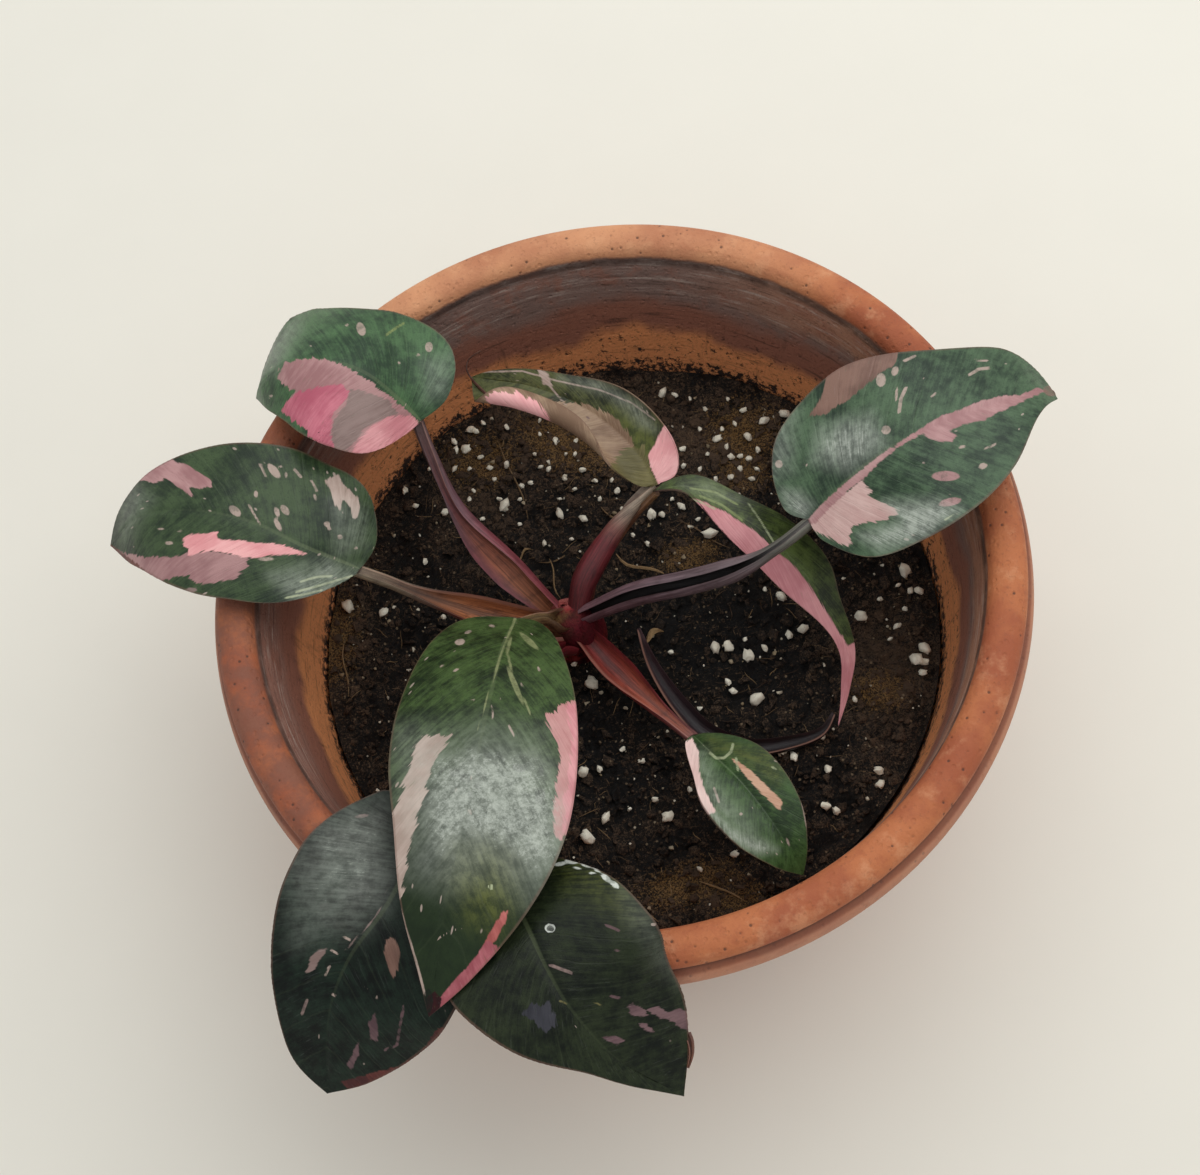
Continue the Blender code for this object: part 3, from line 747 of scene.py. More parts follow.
def makeCrumbs():
    rng = random.Random(crumbs["seed"])
    for kind in crumbs["kinds"]:
        models = [grainShape(seed, crumbs["roughness"], 1) for seed in kind["shapes"]]
        places = []
        for _ in range(kind["count"]):
            point = spotOnSoil(rng, crumbs["within"])
            size = rng.uniform(*kind["size"])
            perSize, more = kind["rise"]
            point.z += perSize * size + more
            scale = (size * between(rng, *kind["long"]), size, size * between(rng, *kind["thick"]))
            places.append((point, scale, rng.uniform(0, tau), rng.uniform(-crumbs["tilt"], crumbs["tilt"]),
                           rng.random()))
        markDry(scatter(kind["name"], models, places, soilFinish(kind["finish"], kind["lift"])))


makeCrumbs()

# threads of coir, twigs, a wood chip and a scrap: those seen as pixels of both ends, thickness
# and tone, and more of them with half lengths and half thickness in mm
litter = {
    "seed": 5, "shapes": 5, "threads": 360, "bends": 7, "length": (0.9, 3.6), "thin": 0.08, "within": 94,
    "seen": (
        ((615, 559), (662, 578), 1.1, 0.75), ((514, 562), (532, 548), 0.9, 0.8),
        ((540, 566), (592, 544), 0.6, 0.4), ((644, 640), (660, 628), 2.2, 0.9),
        ((676, 520), (730, 548), 0.5, 0.3), ((600, 510), (640, 532), 0.6, 0.5),
        ((500, 440), (530, 520), 0.5, 0.4), ((300, 640), (330, 700), 0.5, 0.5),
        ((700, 880), (745, 900), 0.6, 0.7), ((560, 600), (548, 560), 0.5, 0.6),
        ((862, 560), (905, 548), 0.5, 0.5), ((610, 900), (660, 925), 0.5, 0.6),
    ),
    "dark": paint("463224"), "tan": paint("b09064"),
}


def threadShape(seed):
    # a tube along x from -1 to 1, wound a little to both sides
    rng = random.Random(seed)
    deselectAll()
    bpy.ops.mesh.primitive_cylinder_add(vertices=4, radius=1, depth=2, rotation=(0, math.pi / 2, 0))
    model = bpy.context.object
    bpy.ops.object.transform_apply(rotation=True)
    bends = [rng.uniform(-0.12, 0.12) for _ in range(3)]

    def cutAcross():
        for k in range(1, litter["bends"]):
            bpy.ops.mesh.select_all(action="SELECT")
            bpy.ops.mesh.bisect(plane_co=(2 * k / litter["bends"] - 1, 0, 0), plane_no=(1, 0, 0))

    edit(model, cutAcross)
    mesh = model.data
    for vertex in mesh.vertices:
        x = vertex.co.x
        thin = 1 - 0.7 * abs(x) ** 3
        vertex.co.y = vertex.co.y * thin + 30 * (bends[0] * x * x + bends[1] * math.sin(3 * x))
        vertex.co.z = vertex.co.z * thin + 12 * bends[2] * math.cos(2 * x)
    bpy.data.objects.remove(model)
    return mesh


def litterFinish():
    straw = Finish("coir")
    place = straw.places()
    bark = straw.noise(place, 1.4, 4, 0.7)
    colour = straw.mix(straw.attribute("tone"), litter["dark"], litter["tan"])
    colour = straw.mix(bark.smooth(0.45, 0.7) * 0.5, colour, litter["dark"])
    return straw.surface(Base_Color=colour, Roughness=0.8, Normal=straw.bump(bark, 0.3))


def makeLitter():
    rng = random.Random(litter["seed"])
    models = [threadShape(seed) for seed in range(litter["shapes"])]
    places = []
    for start, end, thickness, tone in litter["seen"]:
        a, b = onSoil(*start), onSoil(*end)
        reach = b - a
        places.append(((a + b) / 2 + upright * (0.5 + thickness / 2),
                       (reach.length / 2, thickness / 2, thickness / 2),
                       math.atan2(reach.y, reach.x), 0.0, tone))
    for _ in range(litter["threads"]):
        point = spotOnSoil(rng, litter["within"]) + upright * 0.7
        size = rng.uniform(*litter["length"])
        places.append((point, (size, litter["thin"], litter["thin"]), rng.uniform(0, tau),
                       rng.uniform(-0.3, 0.3), rng.random() ** 1.5))
    scatter("coir_threads", models, places, litterFinish())


makeLitter()
print("perlite, crumbs and threads strewn")

# colours of the markings, as a lighter and a darker one; glint is the colour of painted highlights
tints = {name: (paint(light), paint(deep)) for name, light, deep in (
    ("hot", "ce7a88", "b25a6c"), ("berry", "ba7076", "924a52"), ("rose", "de9ea0", "c47c82"),
    ("shell", "f0b2b0", "dc9294"), ("soft", "b88e8c", "9c7070"), ("blush", "d2b2aa", "bc9690"),
    ("pale", "c0aca0", "a08a7e"), ("mauve", "98827c", "7e6862"), ("dusk", "765c5e", "564044"),
    ("brown", "86675a", "664a40"), ("peach", "d6ac90", "c28e74"), ("blossom", "fec2c0", "eca4a6"),
    ("faded", "ac8482", "906868"), ("petal", "ca9692", "b47a78"), ("chalk", "fad8d0", "e8c0b8"),
    ("reed", "92966c", "747c52"), ("moss", "5c622c", "3e461e"), ("knob", "c4706a", "964c48"),
    ("husk", "785e3a", "543c28"), ("maroon", "340c0f", "1a0407"), ("wine", "58141e", "2e080f"),
    ("tan", "a68c72", "7c624e"), ("cream", "b8be98", "96a078"), ("violet", "3c3c42", "2c2c32"),
    ("olive", "80784c", "5c5636"), ("lime", "8c9660", "687642"), ("glint", "eceee6", "bec6ba"),
    ("pit", "121a10", "090e09"), ("plum", "301e22", "1a1014"), ("rust", "6e3a34", "462424"),
)}

# the leaves. Form: the midrib, the left and right edges as (share of the midrib, mm out), and
# the slope at the base, the slope further on and the curl of each half in degrees. The stalk's
# points, its sheath as (share of the stalk, radius, share that stays wide), half the sheath's
# opening and its twist in degrees, the flare of its wings, and the radius at its end.
# Markings are outlines in pixels of the photograph, which the camera casts onto the blade:
# marks are (tint, fray, outline), lines (width, points) and dabs (x, y, length, width, turn) for
# each tint, sheen, which is water stains and dust together with painted highlights and
# reflections, (strength, softness, outline), and glow the same with a tint. Shade is the green,
# light and deep; outer and groove colour the stalk along its length; creases are how dark its
# fold, which is painted shade, and how pale its lips are.
leaves = {}
leaves["leaf_upper_left"] = {
    "rib": ((-47, 65, 122), (-58, 76, 137), (-70, 83, 141), (-83, 87, 138), (-93, 89, 129), (-97, 89, 120)),
    "left": ((0.06, 13), (0.16, 22), (0.35, 26), (0.6, 23), (0.85, 11)), "leftRise": (5, -12, -8),
    "right": ((-0.03, 12), (0.06, 26), (0.25, 31), (0.5, 28), (0.75, 30), (0.92, 28), (0.99, 14)),
    "rightRise": (5, -20, -15), "stalk": ((-22, 8, 80), (-31, 20, 90), (-42.5, 40, 101), (-47, 57, 113)),
    "sheath": (0.72, 4.9, 0.35), "gape": 74, "twist": 57, "wings": (1.5, 0.2),
    "shade": (paint("4c6c46"), paint("243a26")),
    "marks": (
        ("soft", 1.5, ((276, 378), (283, 364), (303, 358), (330, 360), (350, 369), (372, 383), (392, 398),
            (410, 413), (421, 426), (418, 446), (380, 456), (350, 464), (330, 458), (314, 438), (300, 424),
            (283, 411), (288, 400), (296, 391), (288, 388))),
        ("mauve", 1.5, ((350, 390), (346, 404), (334, 420), (330, 440), (338, 462), (352, 446), (364, 430),
            (382, 419), (398, 414), (390, 402), (372, 392))),
        ("hot", 1.5, ((281, 411), (288, 400), (300, 392), (322, 386), (342, 385), (349, 392), (344, 403),
            (334, 414), (330, 430), (336, 460), (318, 450), (305, 430), (293, 420))),
        ("rose", 2.0, ((348, 462), (358, 440), (372, 425), (392, 417), (412, 416), (424, 428), (420, 446),
            (390, 452))),
    ),
    "lines": {"lime": ((2, ((386, 335), (396, 328), (404, 323))),)},
    "dabs": {
        "pale": (
            (361, 329, 7, 4.4, 70), (429, 347, 5, 3.8, 90), (418, 355, 2.2, 1.6, 0), (347, 325, 2, 1.4, 0),
            (399, 363, 1.6, 1.6, 0), (271, 396, 2, 1.3, 0),
        ),
    },
    "flecks": 0.015, "gloss": 0.25, "dots": 0.3,
    "sheen": (
        (0.5, 14, ((425, 360), (450, 355), (448, 395), (425, 400))),
        (0.4, 12, ((262, 350), (290, 315), (300, 330), (275, 375))),
    ),
    "outer": ((0, "8c4048"), (0.4, "8a4650"), (0.62, "74505a"), (1, "6a5654")),
    "groove": ((0, "c8845a"), (0.35, "b86c50"), (0.6, "80464a"), (1, "5c4644")),
}
leaves["leaf_left"] = {
    "rib": ((-76, 24, 114), (-89, 29, 127), (-103, 39, 133), (-120, 48, 133), (-138, 54, 127),
        (-152, 54, 113)),
    "left": ((0.03, 4), (0.15, 15), (0.31, 23), (0.5, 26), (0.7, 22), (0.87, 13)), "leftRise": (5, -5, -10),
    "right": ((-0.03, 10), (0.02, 22), (0.15, 29), (0.37, 29), (0.58, 24), (0.79, 15), (0.94, 9)),
    "rightRise": (5, -5, -10), "stalk": ((-22, 5, 78), (-38, 8, 88), (-58, 16, 98), (-70, 21, 108)),
    "sheath": (0.8, 4.4, 0.4), "gape": 72, "twist": 12, "wings": (0.5, 0.5),
    "shade": (paint("405234"), paint("1c2a1c")),
    "marks": (
        ("soft", 1.2, ((136, 480), (150, 470), (172, 458), (178, 463), (190, 466), (203, 474), (213, 480),
            (210, 488), (190, 488), (194, 497), (180, 488), (165, 480), (152, 482))),
        ("pale", 1.0, ((325, 480), (338, 474), (343, 484), (357, 497), (361, 506), (358, 518), (352, 518),
            (350, 507), (345, 499), (341, 502), (340, 511), (334, 502))),
        ("faded", 1.5, ((100, 545), (125, 553), (145, 557), (170, 557), (187, 553), (210, 550), (250, 557),
            (247, 562), (248, 567), (240, 572), (235, 578), (215, 583), (195, 584), (190, 576), (178, 577),
            (166, 580), (150, 582), (120, 566))),
        ("rust", 1.0, ((100, 538), (110, 544), (124, 554), (140, 566), (150, 576), (130, 580), (98, 560))),
        ("shell", 1.2, ((185, 537), (200, 533), (217, 532), (219, 540), (240, 541), (290, 546), (307, 554),
            (280, 556), (250, 558), (225, 553), (205, 551), (190, 556), (187, 548), (182, 545))),
    ),
    "lines": {
        "pale": (
            (1.8, ((311, 480), (317, 491))), (1.8, ((249, 505), (254, 514), (260, 524))),
            (2.4, ((294, 469), (301, 477))), (1.6, ((260, 464), (266, 477))),
        ),
        "cream": (
            (1.6, ((300, 582), (316, 577), (332, 576))),
            (1.6, ((296, 592), (318, 586), (338, 580), (352, 576))),
            (1.4, ((285, 598), (306, 594), (322, 590))),
        ),
    },
    "dabs": {
        "pale": (
            (274, 471, 9, 4, 50), (256, 494, 3.4, 2.2, 90), (235, 511, 7, 4, 40), (277, 512, 5, 2.4, 70),
            (285, 510, 6, 3.4, 50), (278, 525, 7, 2.6, 60), (327, 524, 3.6, 2.6, 0), (340, 537, 3, 2.4, 0),
            (356, 548, 2, 1.5, 0), (169, 543, 4, 2, 0), (329, 529, 2.6, 1.6, 0), (268, 451, 3, 1, 0),
            (281, 466, 2.6, 1.6, 0), (286, 475, 3, 1.6, 90), (315, 497, 3.4, 1.6, 70),
            (260, 465, 3, 1.2, 0), (180, 531, 3, 1.2, 0), (161, 529, 3, 1.2, 0), (266, 559, 8, 2, 0),
        ),
        "mauve": ((191, 590, 6, 2.6, 0),),
    },
    "flecks": 0.07, "gloss": 0.25, "dots": 0.2,
    "sheen": (
        (0.75, 14, ((270, 575), (330, 560), (362, 572), (350, 600), (300, 606))),
        (0.45, 14, ((120, 500), (135, 485), (150, 500), (125, 540))),
        (0.45, 12, ((330, 500), (365, 510), (365, 545), (335, 560))),
    ),
    "outer": ((0, "8c5048"), (0.45, "6e3c38"), (0.7, "7a6a5c"), (0.78, "8a7c68"), (1, "9c9078")),
    "groove": ((0, "c07a50"), (0.45, "b07048"), (0.7, "6e5040"), (1, "8c7c66")),
}
leaves["leaf_back"] = {
    "rib": ((19, 32, 104), (17, 41, 108), (10, 53, 111), (0, 64, 113), (-13, 74, 113), (-29, 83, 110)),
    "left": ((0.05, 6), (0.3, 16.5), (0.55, 20), (0.75, 20), (0.88, 14.5), (0.96, 7)),
    "leftRise": (-10, -10, 235), "right": ((0, 8), (0.1, 12), (0.35, 12), (0.6, 7), (0.83, 4), (0.94, 2)),
    "rightRise": (20, 20, 30), "stalk": ((-14, 8, 80), (-9.5, 14.5, 86), (1, 23, 93), (10.5, 29, 99)),
    "sheath": (0.95, 4.4, 0.2), "gape": 30, "twist": 110, "wings": (0, 0),
    "shade": (paint("5a5e36"), paint("1c2212")), "under": "tan",
    "marks": (
        ("tan", 2.0, ((515, 394), (545, 400), (575, 403), (600, 409), (618, 420), (632, 440), (640, 462),
            (640, 505), (560, 500), (510, 430))),
        ("olive", 3.0, ((608, 470), (626, 448), (644, 446), (652, 470), (666, 494), (640, 502),
            (606, 492))),
        ("blossom", 0.6, ((648, 455), (655, 444), (662, 428), (672, 420), (690, 440), (690, 470),
            (676, 492), (660, 487), (655, 477), (650, 466))),
        ("blossom", 2.0, ((485, 396), (496, 391), (520, 394), (538, 402), (556, 430), (520, 428),
            (495, 416))),
        ("pale", 0.8, ((536, 366), (548, 374), (552, 386), (543, 384))),
    ),
    "lines": {
        "pale": (
            (1.1, ((480, 372), (522, 371), (558, 381), (600, 390), (632, 403), (655, 420))),
            (1.4, ((549, 385), (558, 396), (566, 405))),
        ),
    },
    "dabs": {"dusk": ((588, 418, 3, 1.6, 60),)}, "flecks": 0.03, "gloss": 0.25, "dots": 0.3,
    "glow": (("moss", 0.9, 12, ((610, 410), (640, 412), (664, 445), (650, 474), (625, 455))),),
    "sheen": ((0.8, 10, ((560, 378), (600, 382), (640, 405), (655, 430), (640, 425), (610, 395))),),
    "outer": ((0, "5c1c20"), (0.5, "782c32"), (0.62, "8c5c54"), (0.76, "a89886"), (1, "b8ac98")),
    "groove": ((0, "47171a"), (0.5, "8a343a"), (0.7, "8a6a60"), (1, "a09684")),
}
leaves["leaf_right"] = {
    "rib": ((60, -2, 124), (79, 5, 136), (97, 9, 141), (117, 12, 140), (134, 16, 134), (142, 15, 127)),
    "left": ((-0.04, 8), (0.02, 21), (0.12, 29), (0.33, 34), (0.5, 31), (0.74, 24), (0.93, 15)),
    "leftRise": (5, -8, -10), "right": ((0, 9), (0.1, 23), (0.3, 29), (0.5, 28), (0.69, 20), (0.85, 9)),
    "rightRise": (5, -5, -10),
    "stalk": ((-13, 5, 80), (5, 2, 93), (22, -3, 103), (38, -7, 114), (50, -6, 120)),
    "sheath": (0.84, 3.9, 0.74), "gape": 15, "twist": -24, "wings": (0.6, 0.6),
    "shade": (paint("4e664a"), paint("1d2f21")),
    "marks": (
        ("brown", 1.2, ((807, 418), (820, 400), (826, 376), (840, 355), (900, 345), (898, 362), (880, 373),
            (872, 380), (862, 390), (845, 401), (828, 413))),
        ("blush", 1.5, ((806, 523), (835, 500), (862, 480), (866, 487), (873, 491), (868, 495), (880, 502),
            (892, 506), (900, 512), (885, 520), (868, 522), (852, 527), (850, 535), (853, 546), (838, 543),
            (825, 536), (812, 530))),
        ("soft", 0.8, ((806, 522), (820, 506), (835, 492), (850, 479), (865, 467), (880, 455), (900, 442),
            (920, 429), (940, 416), (960, 410), (980, 401), (1000, 396), (1020, 395), (1038, 388),
            (1046, 391), (1030, 398), (1015, 405), (1000, 412), (985, 420), (965, 424), (948, 431),
            (957, 436), (952, 442), (940, 441), (928, 437), (923, 433), (910, 440), (895, 450), (880, 462),
            (866, 476), (850, 489), (830, 508), (815, 524))),
    ),
    "lines": {
        "pale": (
            (3.0, ((906, 388), (901, 398), (899, 412))), (2.2, ((897, 388), (896, 400))),
            (2.4, ((904, 361), (915, 356))), (2.4, ((969, 375), (979, 369), (989, 368))),
            (1.6, ((975, 360), (988, 361))), (1.8, ((985, 449), (996, 444))),
            (1.6, ((931, 397), (936, 393))),
        ),
        "cream": ((1.6, ((945, 520), (960, 512))),),
    },
    "dabs": {
        "soft": ((946, 476, 14, 5, 0), (950, 502, 12, 4, -12)),
        "pale": (
            (886, 430, 5, 4.4, 0), (881, 380, 7, 5, 90), (895, 371, 5, 3.4, 110), (983, 466, 4.6, 3, -20),
            (962, 447, 4, 1.6, -10), (779, 464, 4, 4, 90), (924, 463, 1.8, 1.4, 0), (924, 379, 1.6, 1.6, 0),
            (806, 465, 2.4, 1.4, 0),
        ),
        "brown": ((1050, 391, 7, 5, 20),),
    },
    "flecks": 0.03, "gloss": 0.28, "dots": 0.25,
    "sheen": (
        (1.0, 16, ((820, 430), (870, 415), (885, 445), (850, 470), (815, 460))),
        (1.0, 10, ((782, 490), (800, 492), (812, 505), (805, 518), (785, 510))),
        (1.2, 12, ((885, 503), (935, 500), (960, 510), (925, 538), (880, 550), (860, 535), (900, 522))),
        (0.6, 16, ((770, 420), (795, 410), (790, 470), (768, 480))),
    ),
    "outer": ((0, "7c5a62"), (0.4, "78646c"), (0.74, "786a6e"), (0.82, "66665f"), (1, "76786c")),
    "groove": ((0, "2a1c20"), (0.4, "241c20"), (0.74, "2a2226"), (0.82, "4c4a4a"), (1, "6c6a66")),
    "creases": (1.0, 0.12),
}
leaves["leaf_young"] = {
    "rib": ((18, 28, 108), (29, 25, 111), (39, 14, 111), (50, 2, 107), (59, -14, 99), (64, -30, 88),
        (61, -41, 79), (56, -50, 73)),
    "left": ((0.05, 3), (0.2, 6), (0.5, 9.5), (0.65, 4.5), (0.85, 1.6)), "leftRise": (5, -10, -10),
    "right": ((0.1, 1.8), (0.22, 5.4), (0.36, 9), (0.52, 9), (0.72, 3.4), (0.9, 1.5)),
    "rightRise": (5, -15, -20), "stalk": ((-13, 9, 78), (-7, 15.5, 83), (4, 24, 89), (12, 27.5, 97)),
    "sheath": (0.3, 3.0, 0.2), "end": 1.1, "gape": 30, "twist": 0, "wings": (0, 0),
    "shade": (paint("586834"), paint("1e2614")),
    "marks": (
        ("rose", 0.8, ((668, 500), (690, 498), (702, 501), (725, 512), (750, 528), (765, 540), (780, 554),
            (795, 567), (808, 583), (822, 605), (838, 630), (848, 646), (858, 640), (870, 700), (848, 740),
            (820, 700), (820, 655), (790, 620), (740, 580), (700, 540))),
    ),
    "lines": {
        "cream": ((1.4, ((748, 503), (760, 520), (774, 543))), (1.4, ((686, 498), (700, 502), (715, 509)))),
        "lime": ((1.8, ((700, 496), (722, 505), (742, 520))), (1.4, ((690, 488), (715, 492), (738, 505)))),
    },
    "dabs": {}, "flecks": 0.0, "gloss": 0.3, "dots": 0.3,
    "sheen": ((0.4, 10, ((680, 485), (710, 482), (740, 500), (720, 500))),),
    "outer": ((0, "6e3a32"), (0.5, "7a4a36"), (1, "8c6a46")),
    "groove": ((0, "6e3a32"), (0.5, "7a4a36"), (1, "8c6a46")),
}
leaves["leaf_small"] = {
    "rib": ((11, -45, 84), (16, -56, 90), (21, -66, 93), (26, -78, 93), (30, -89, 89), (32, -96, 83)),
    "left": ((0.12, 6), (0.3, 11), (0.5, 12), (0.7, 10), (0.87, 5)), "leftRise": (10, 10, -10),
    "right": ((0.03, 4), (0.25, 10), (0.45, 16), (0.65, 15), (0.85, 8)), "rightRise": (10, 15, 20),
    "stalk": ((-15, 1, 77), (-6, -17, 81), (3, -33, 81)), "sheath": (0.9, 4.4, 0.35), "gape": 74,
    "twist": 0, "wings": (0.2, 0.6), "shade": (paint("466234"), paint("1e3218")),
    "marks": (
        ("chalk", 0.8, ((680, 745), (692, 738), (699, 752), (699, 770), (703, 785), (710, 800), (716, 812),
            (705, 815), (688, 790))),
        ("peach", 0.8, ((729, 755), (737, 761), (750, 770), (762, 781), (772, 791), (782, 800), (781, 809),
            (776, 808), (766, 797), (755, 787), (742, 771))),
        ("plum", 0.8, ((780, 752), (797, 780), (806, 808), (812, 838), (816, 852), (806, 885), (850, 880),
            (850, 800), (810, 760))),
    ),
    "lines": {
        "cream": (
            (2.2, ((710, 753), (716, 758), (724, 758), (731, 752), (733, 744))),
            (2.0, ((736, 758), (738, 770))),
        ),
        "pale": ((1.8, ((714, 788), (719, 802))), (2.0, ((794, 776), (802, 800), (807, 826), (815, 848)))),
    },
    "dabs": {"pale": ((741, 814, 2, 1.4, 0), (788, 842, 4, 1.2, 70)), "cream": ((774, 768, 3, 1.2, 30),)},
    "flecks": 0.03, "gloss": 0.3, "dots": 0.2,
    "glow": (
        ("moss", 0.8, 9, ((705, 734), (722, 738), (745, 746), (770, 750), (786, 775), (778, 785),
            (752, 768), (732, 756), (712, 754))),
    ),
    "sheen": (
        (1.1, 9, ((698, 786), (712, 806), (735, 828), (764, 842), (776, 850), (755, 854), (725, 838),
            (705, 815))),
        (0.7, 14, ((694, 752), (706, 752), (716, 785), (738, 812), (752, 834), (722, 822), (700, 788))),
    ),
    "outer": ((0, "7a2028"), (0.5, "98343a"), (0.9, "84504f"), (1, "9a6a68")),
    "groove": ((0, "7c2a2c"), (0.3, "9a443a"), (0.6, "b4604a"), (0.9, "a25e4a"), (1, "9a6a68")),
}
leaves["leaf_front"] = {
    "rib": ((-33, 1, 100), (-38, -12, 113), (-43, -29, 126), (-50, -51, 137), (-59, -76, 144),
        (-69, -99, 143), (-79, -122, 135)),
    "left": ((0.02, 8), (0.12, 17), (0.3, 25), (0.52, 29), (0.67, 27.5), (0.8, 21), (0.92, 10)),
    "leftRise": (0, -6, -15),
    "right": ((0.02, 16), (0.12, 24), (0.3, 29), (0.48, 27), (0.65, 20), (0.8, 13), (0.92, 5)),
    "rightRise": (0, -6, -20), "stalk": ((-18, 4, 80), (-26, 4, 88)), "sheath": (0.4, 4.0, 0.3), "gape": 60,
    "twist": 0, "wings": (0, 0), "shade": (paint("485e32"), paint("162411")), "darkTip": 0.9,
    "marks": (
        ("petal", 2.2, ((545, 717), (553, 712), (562, 704), (584, 698), (590, 790), (570, 835), (556, 842),
            (553, 815), (555, 795), (558, 775), (560, 760), (557, 744), (551, 731))),
        ("rose", 2.2, ((566, 706), (592, 700), (592, 800), (575, 838), (560, 838), (562, 812), (566, 790),
            (570, 765), (572, 740))),
        ("pale", 2.6, ((425, 734), (440, 737), (453, 735), (445, 745), (437, 755), (431, 770), (427, 785),
            (424, 800), (419, 818), (412, 838), (407, 856), (405, 875), (403, 895), (399, 905), (384, 890),
            (384, 830), (396, 808), (402, 790), (409, 768), (416, 745))),
        ("knob", 0.8, ((508, 910), (503, 911), (495, 924), (487, 938), (482, 948), (488, 950), (497, 938),
            (506, 922))),
        ("berry", 0.8, ((487, 940), (480, 950), (470, 964), (458, 976), (446, 990), (436, 1004),
            (442, 1012), (458, 994), (476, 978), (490, 966), (500, 948))),
        ("maroon", 0.8, ((424, 1000), (434, 992), (441, 998), (440, 1010), (432, 1022), (422, 1016))),
    ),
    "lines": {
        "reed": (
            (2.0, ((516, 616), (508, 637), (500, 658), (495, 674))),
            (1.4, ((495, 674), (487, 698), (478, 730))), (1.8, ((511, 637), (508, 655), (512, 672))),
            (1.4, ((524, 698), (531, 716))),
        ),
        "pale": (
            (1.4, ((492, 705), (493, 720))), (1.4, ((508, 724), (514, 736))),
            (1.2, ((436, 940), (450, 931), (462, 928))),
            (1.8, ((400, 908), (408, 935), (418, 968), (425, 995))),
        ),
    },
    "dabs": {
        "reed": ((515, 685, 20, 2.8, 67), (529, 641, 12, 2.8, 42)),
        "pale": (
            (460, 642, 5, 3.2, -10), (468, 632, 3.4, 1.6, -20), (456, 670, 3, 1.4, -20),
            (442, 666, 2.4, 1, -30), (539, 669, 2.6, 1.6, 60), (522, 685, 2.6, 1.2, 60),
            (473, 700, 2, 1, 0), (501, 699, 1.6, 1.4, 0), (492, 626, 3, 1.4, 10), (470, 812, 3.6, 2.8, 0),
        ),
        "pit": (
            (455, 773, 6, 4, 0), (465, 778, 7, 4, 20), (478, 785, 5, 3.4, 60), (483, 777, 3.4, 2.6, 0),
            (519, 768, 8, 4.4, 10), (541, 771, 3.6, 4.6, 0), (540, 797, 5.4, 8, 20), (470, 795, 3, 4, 0),
            (428, 1001, 5, 12, 0),
        ),
        "cream": ((491, 887, 3.6, 3, 0),),
    },
    "flecks": 0.05, "gloss": 0.2, "dots": 0.68,
    "glow": (
        ("moss", 0.8, 24, ((455, 845), (490, 840), (514, 856), (518, 900), (500, 935), (470, 920),
            (450, 880))),
    ),
    "sheen": (
        (0.6, 30, ((396, 730), (440, 735), (482, 725), (545, 735), (568, 800), (560, 870), (530, 900),
            (490, 872), (450, 888), (412, 874), (400, 800))),
        (1.15, 28, ((430, 755), (470, 745), (540, 752), (564, 800), (562, 862), (535, 882), (505, 850),
            (470, 842), (440, 862), (420, 825))),
    ),
    "outer": ((0, "6e4a34"), (1, "7a6a44")), "groove": ((0, "7c6040"), (1, "7a6a44")),
}
leaves["leaf_front_left"] = {
    "rib": ((-70, -65, 121), (-77, -76, 127), (-86, -88, 130), (-98, -98, 128), (-107, -108, 121),
        (-113, -118, 109), (-117, -127, 97)),
    "left": ((-0.03, 7), (0.08, 17), (0.25, 27), (0.45, 33), (0.65, 31), (0.8, 24), (0.93, 12)),
    "leftRise": (0, -3, -8),
    "right": ((-0.08, 15), (-0.04, 21), (0.1, 29), (0.3, 32), (0.5, 27), (0.7, 18), (0.9, 10)),
    "rightRise": (2, -3, -10), "stalk": ((-23, 0, 77), (-30, -6, 86), (-44, -24, 97), (-60, -49, 110)),
    "sheath": (0.5, 4.0, 0.3), "gape": 60, "twist": 0, "wings": (0.1, 0.1),
    "shade": (paint("1c2a20"), paint("090e0b")),
    "marks": (
        ("brown", 1.5, ((386, 940), (393, 938), (399, 950), (398, 970), (393, 980), (388, 966),
            (385, 952))),
        ("mauve", 1.0, ((307, 972), (309, 960), (317, 950), (328, 948), (322, 958), (314, 969))),
        ("dusk", 1.0, ((374, 1013), (378, 1026), (377, 1042), (370, 1038), (369, 1022))),
        ("dusk", 1.0, ((346, 1065), (352, 1056), (359, 1040), (358, 1056), (352, 1070))),
        ("rust", 1.0, ((340, 1082), (372, 1073), (400, 1066), (424, 1050), (436, 1028), (448, 1030),
            (440, 1062), (400, 1085), (360, 1096))),
    ),
    "lines": {
        "pale": (
            (1.8, ((331, 950), (338, 954))), (1.8, ((344, 937), (350, 940))),
            (1.6, ((325, 976), (330, 966))),
        ),
        "mauve": (
            (2.4, ((302, 1014), (307, 1000))), (1.4, ((345, 951), (360, 934), (376, 917), (388, 890))),
        ),
        "dusk": ((2.4, ((385, 1050), (397, 1045), (401, 1020), (404, 1006))),),
    },
    "dabs": {
        "pit": (
            (343, 853, 5.6, 4.4, 0), (365, 846, 4, 3.4, 0), (346, 882, 6, 3, 10), (330, 893, 4, 3, 0),
            (368, 893, 5, 3, -40), (325, 907, 6, 4, -10), (340, 925, 8, 5, 0),
        ),
        "mauve": ((362, 816, 7, 1.8, -10),),
        "pale": ((334, 995, 3, 1.4, 30), (366, 988, 1.8, 1.6, 0), (377, 998, 1.4, 2.4, 0)),
    },
    "flecks": 0.015, "gloss": 0.14, "dots": 0.35,
    "sheen": (
        (0.7, 26, ((310, 830), (350, 805), (386, 810), (390, 870), (380, 905), (340, 915), (310, 890))),
        (0.5, 30, ((288, 860), (320, 810), (386, 795), (392, 880), (360, 925), (300, 940))),
    ),
    "outer": ((0, "701c24"), (0.6, "5a2a30"), (1, "4c3434")),
    "groove": ((0, "8c3430"), (0.6, "5a2a30"), (1, "4c3434")),
}
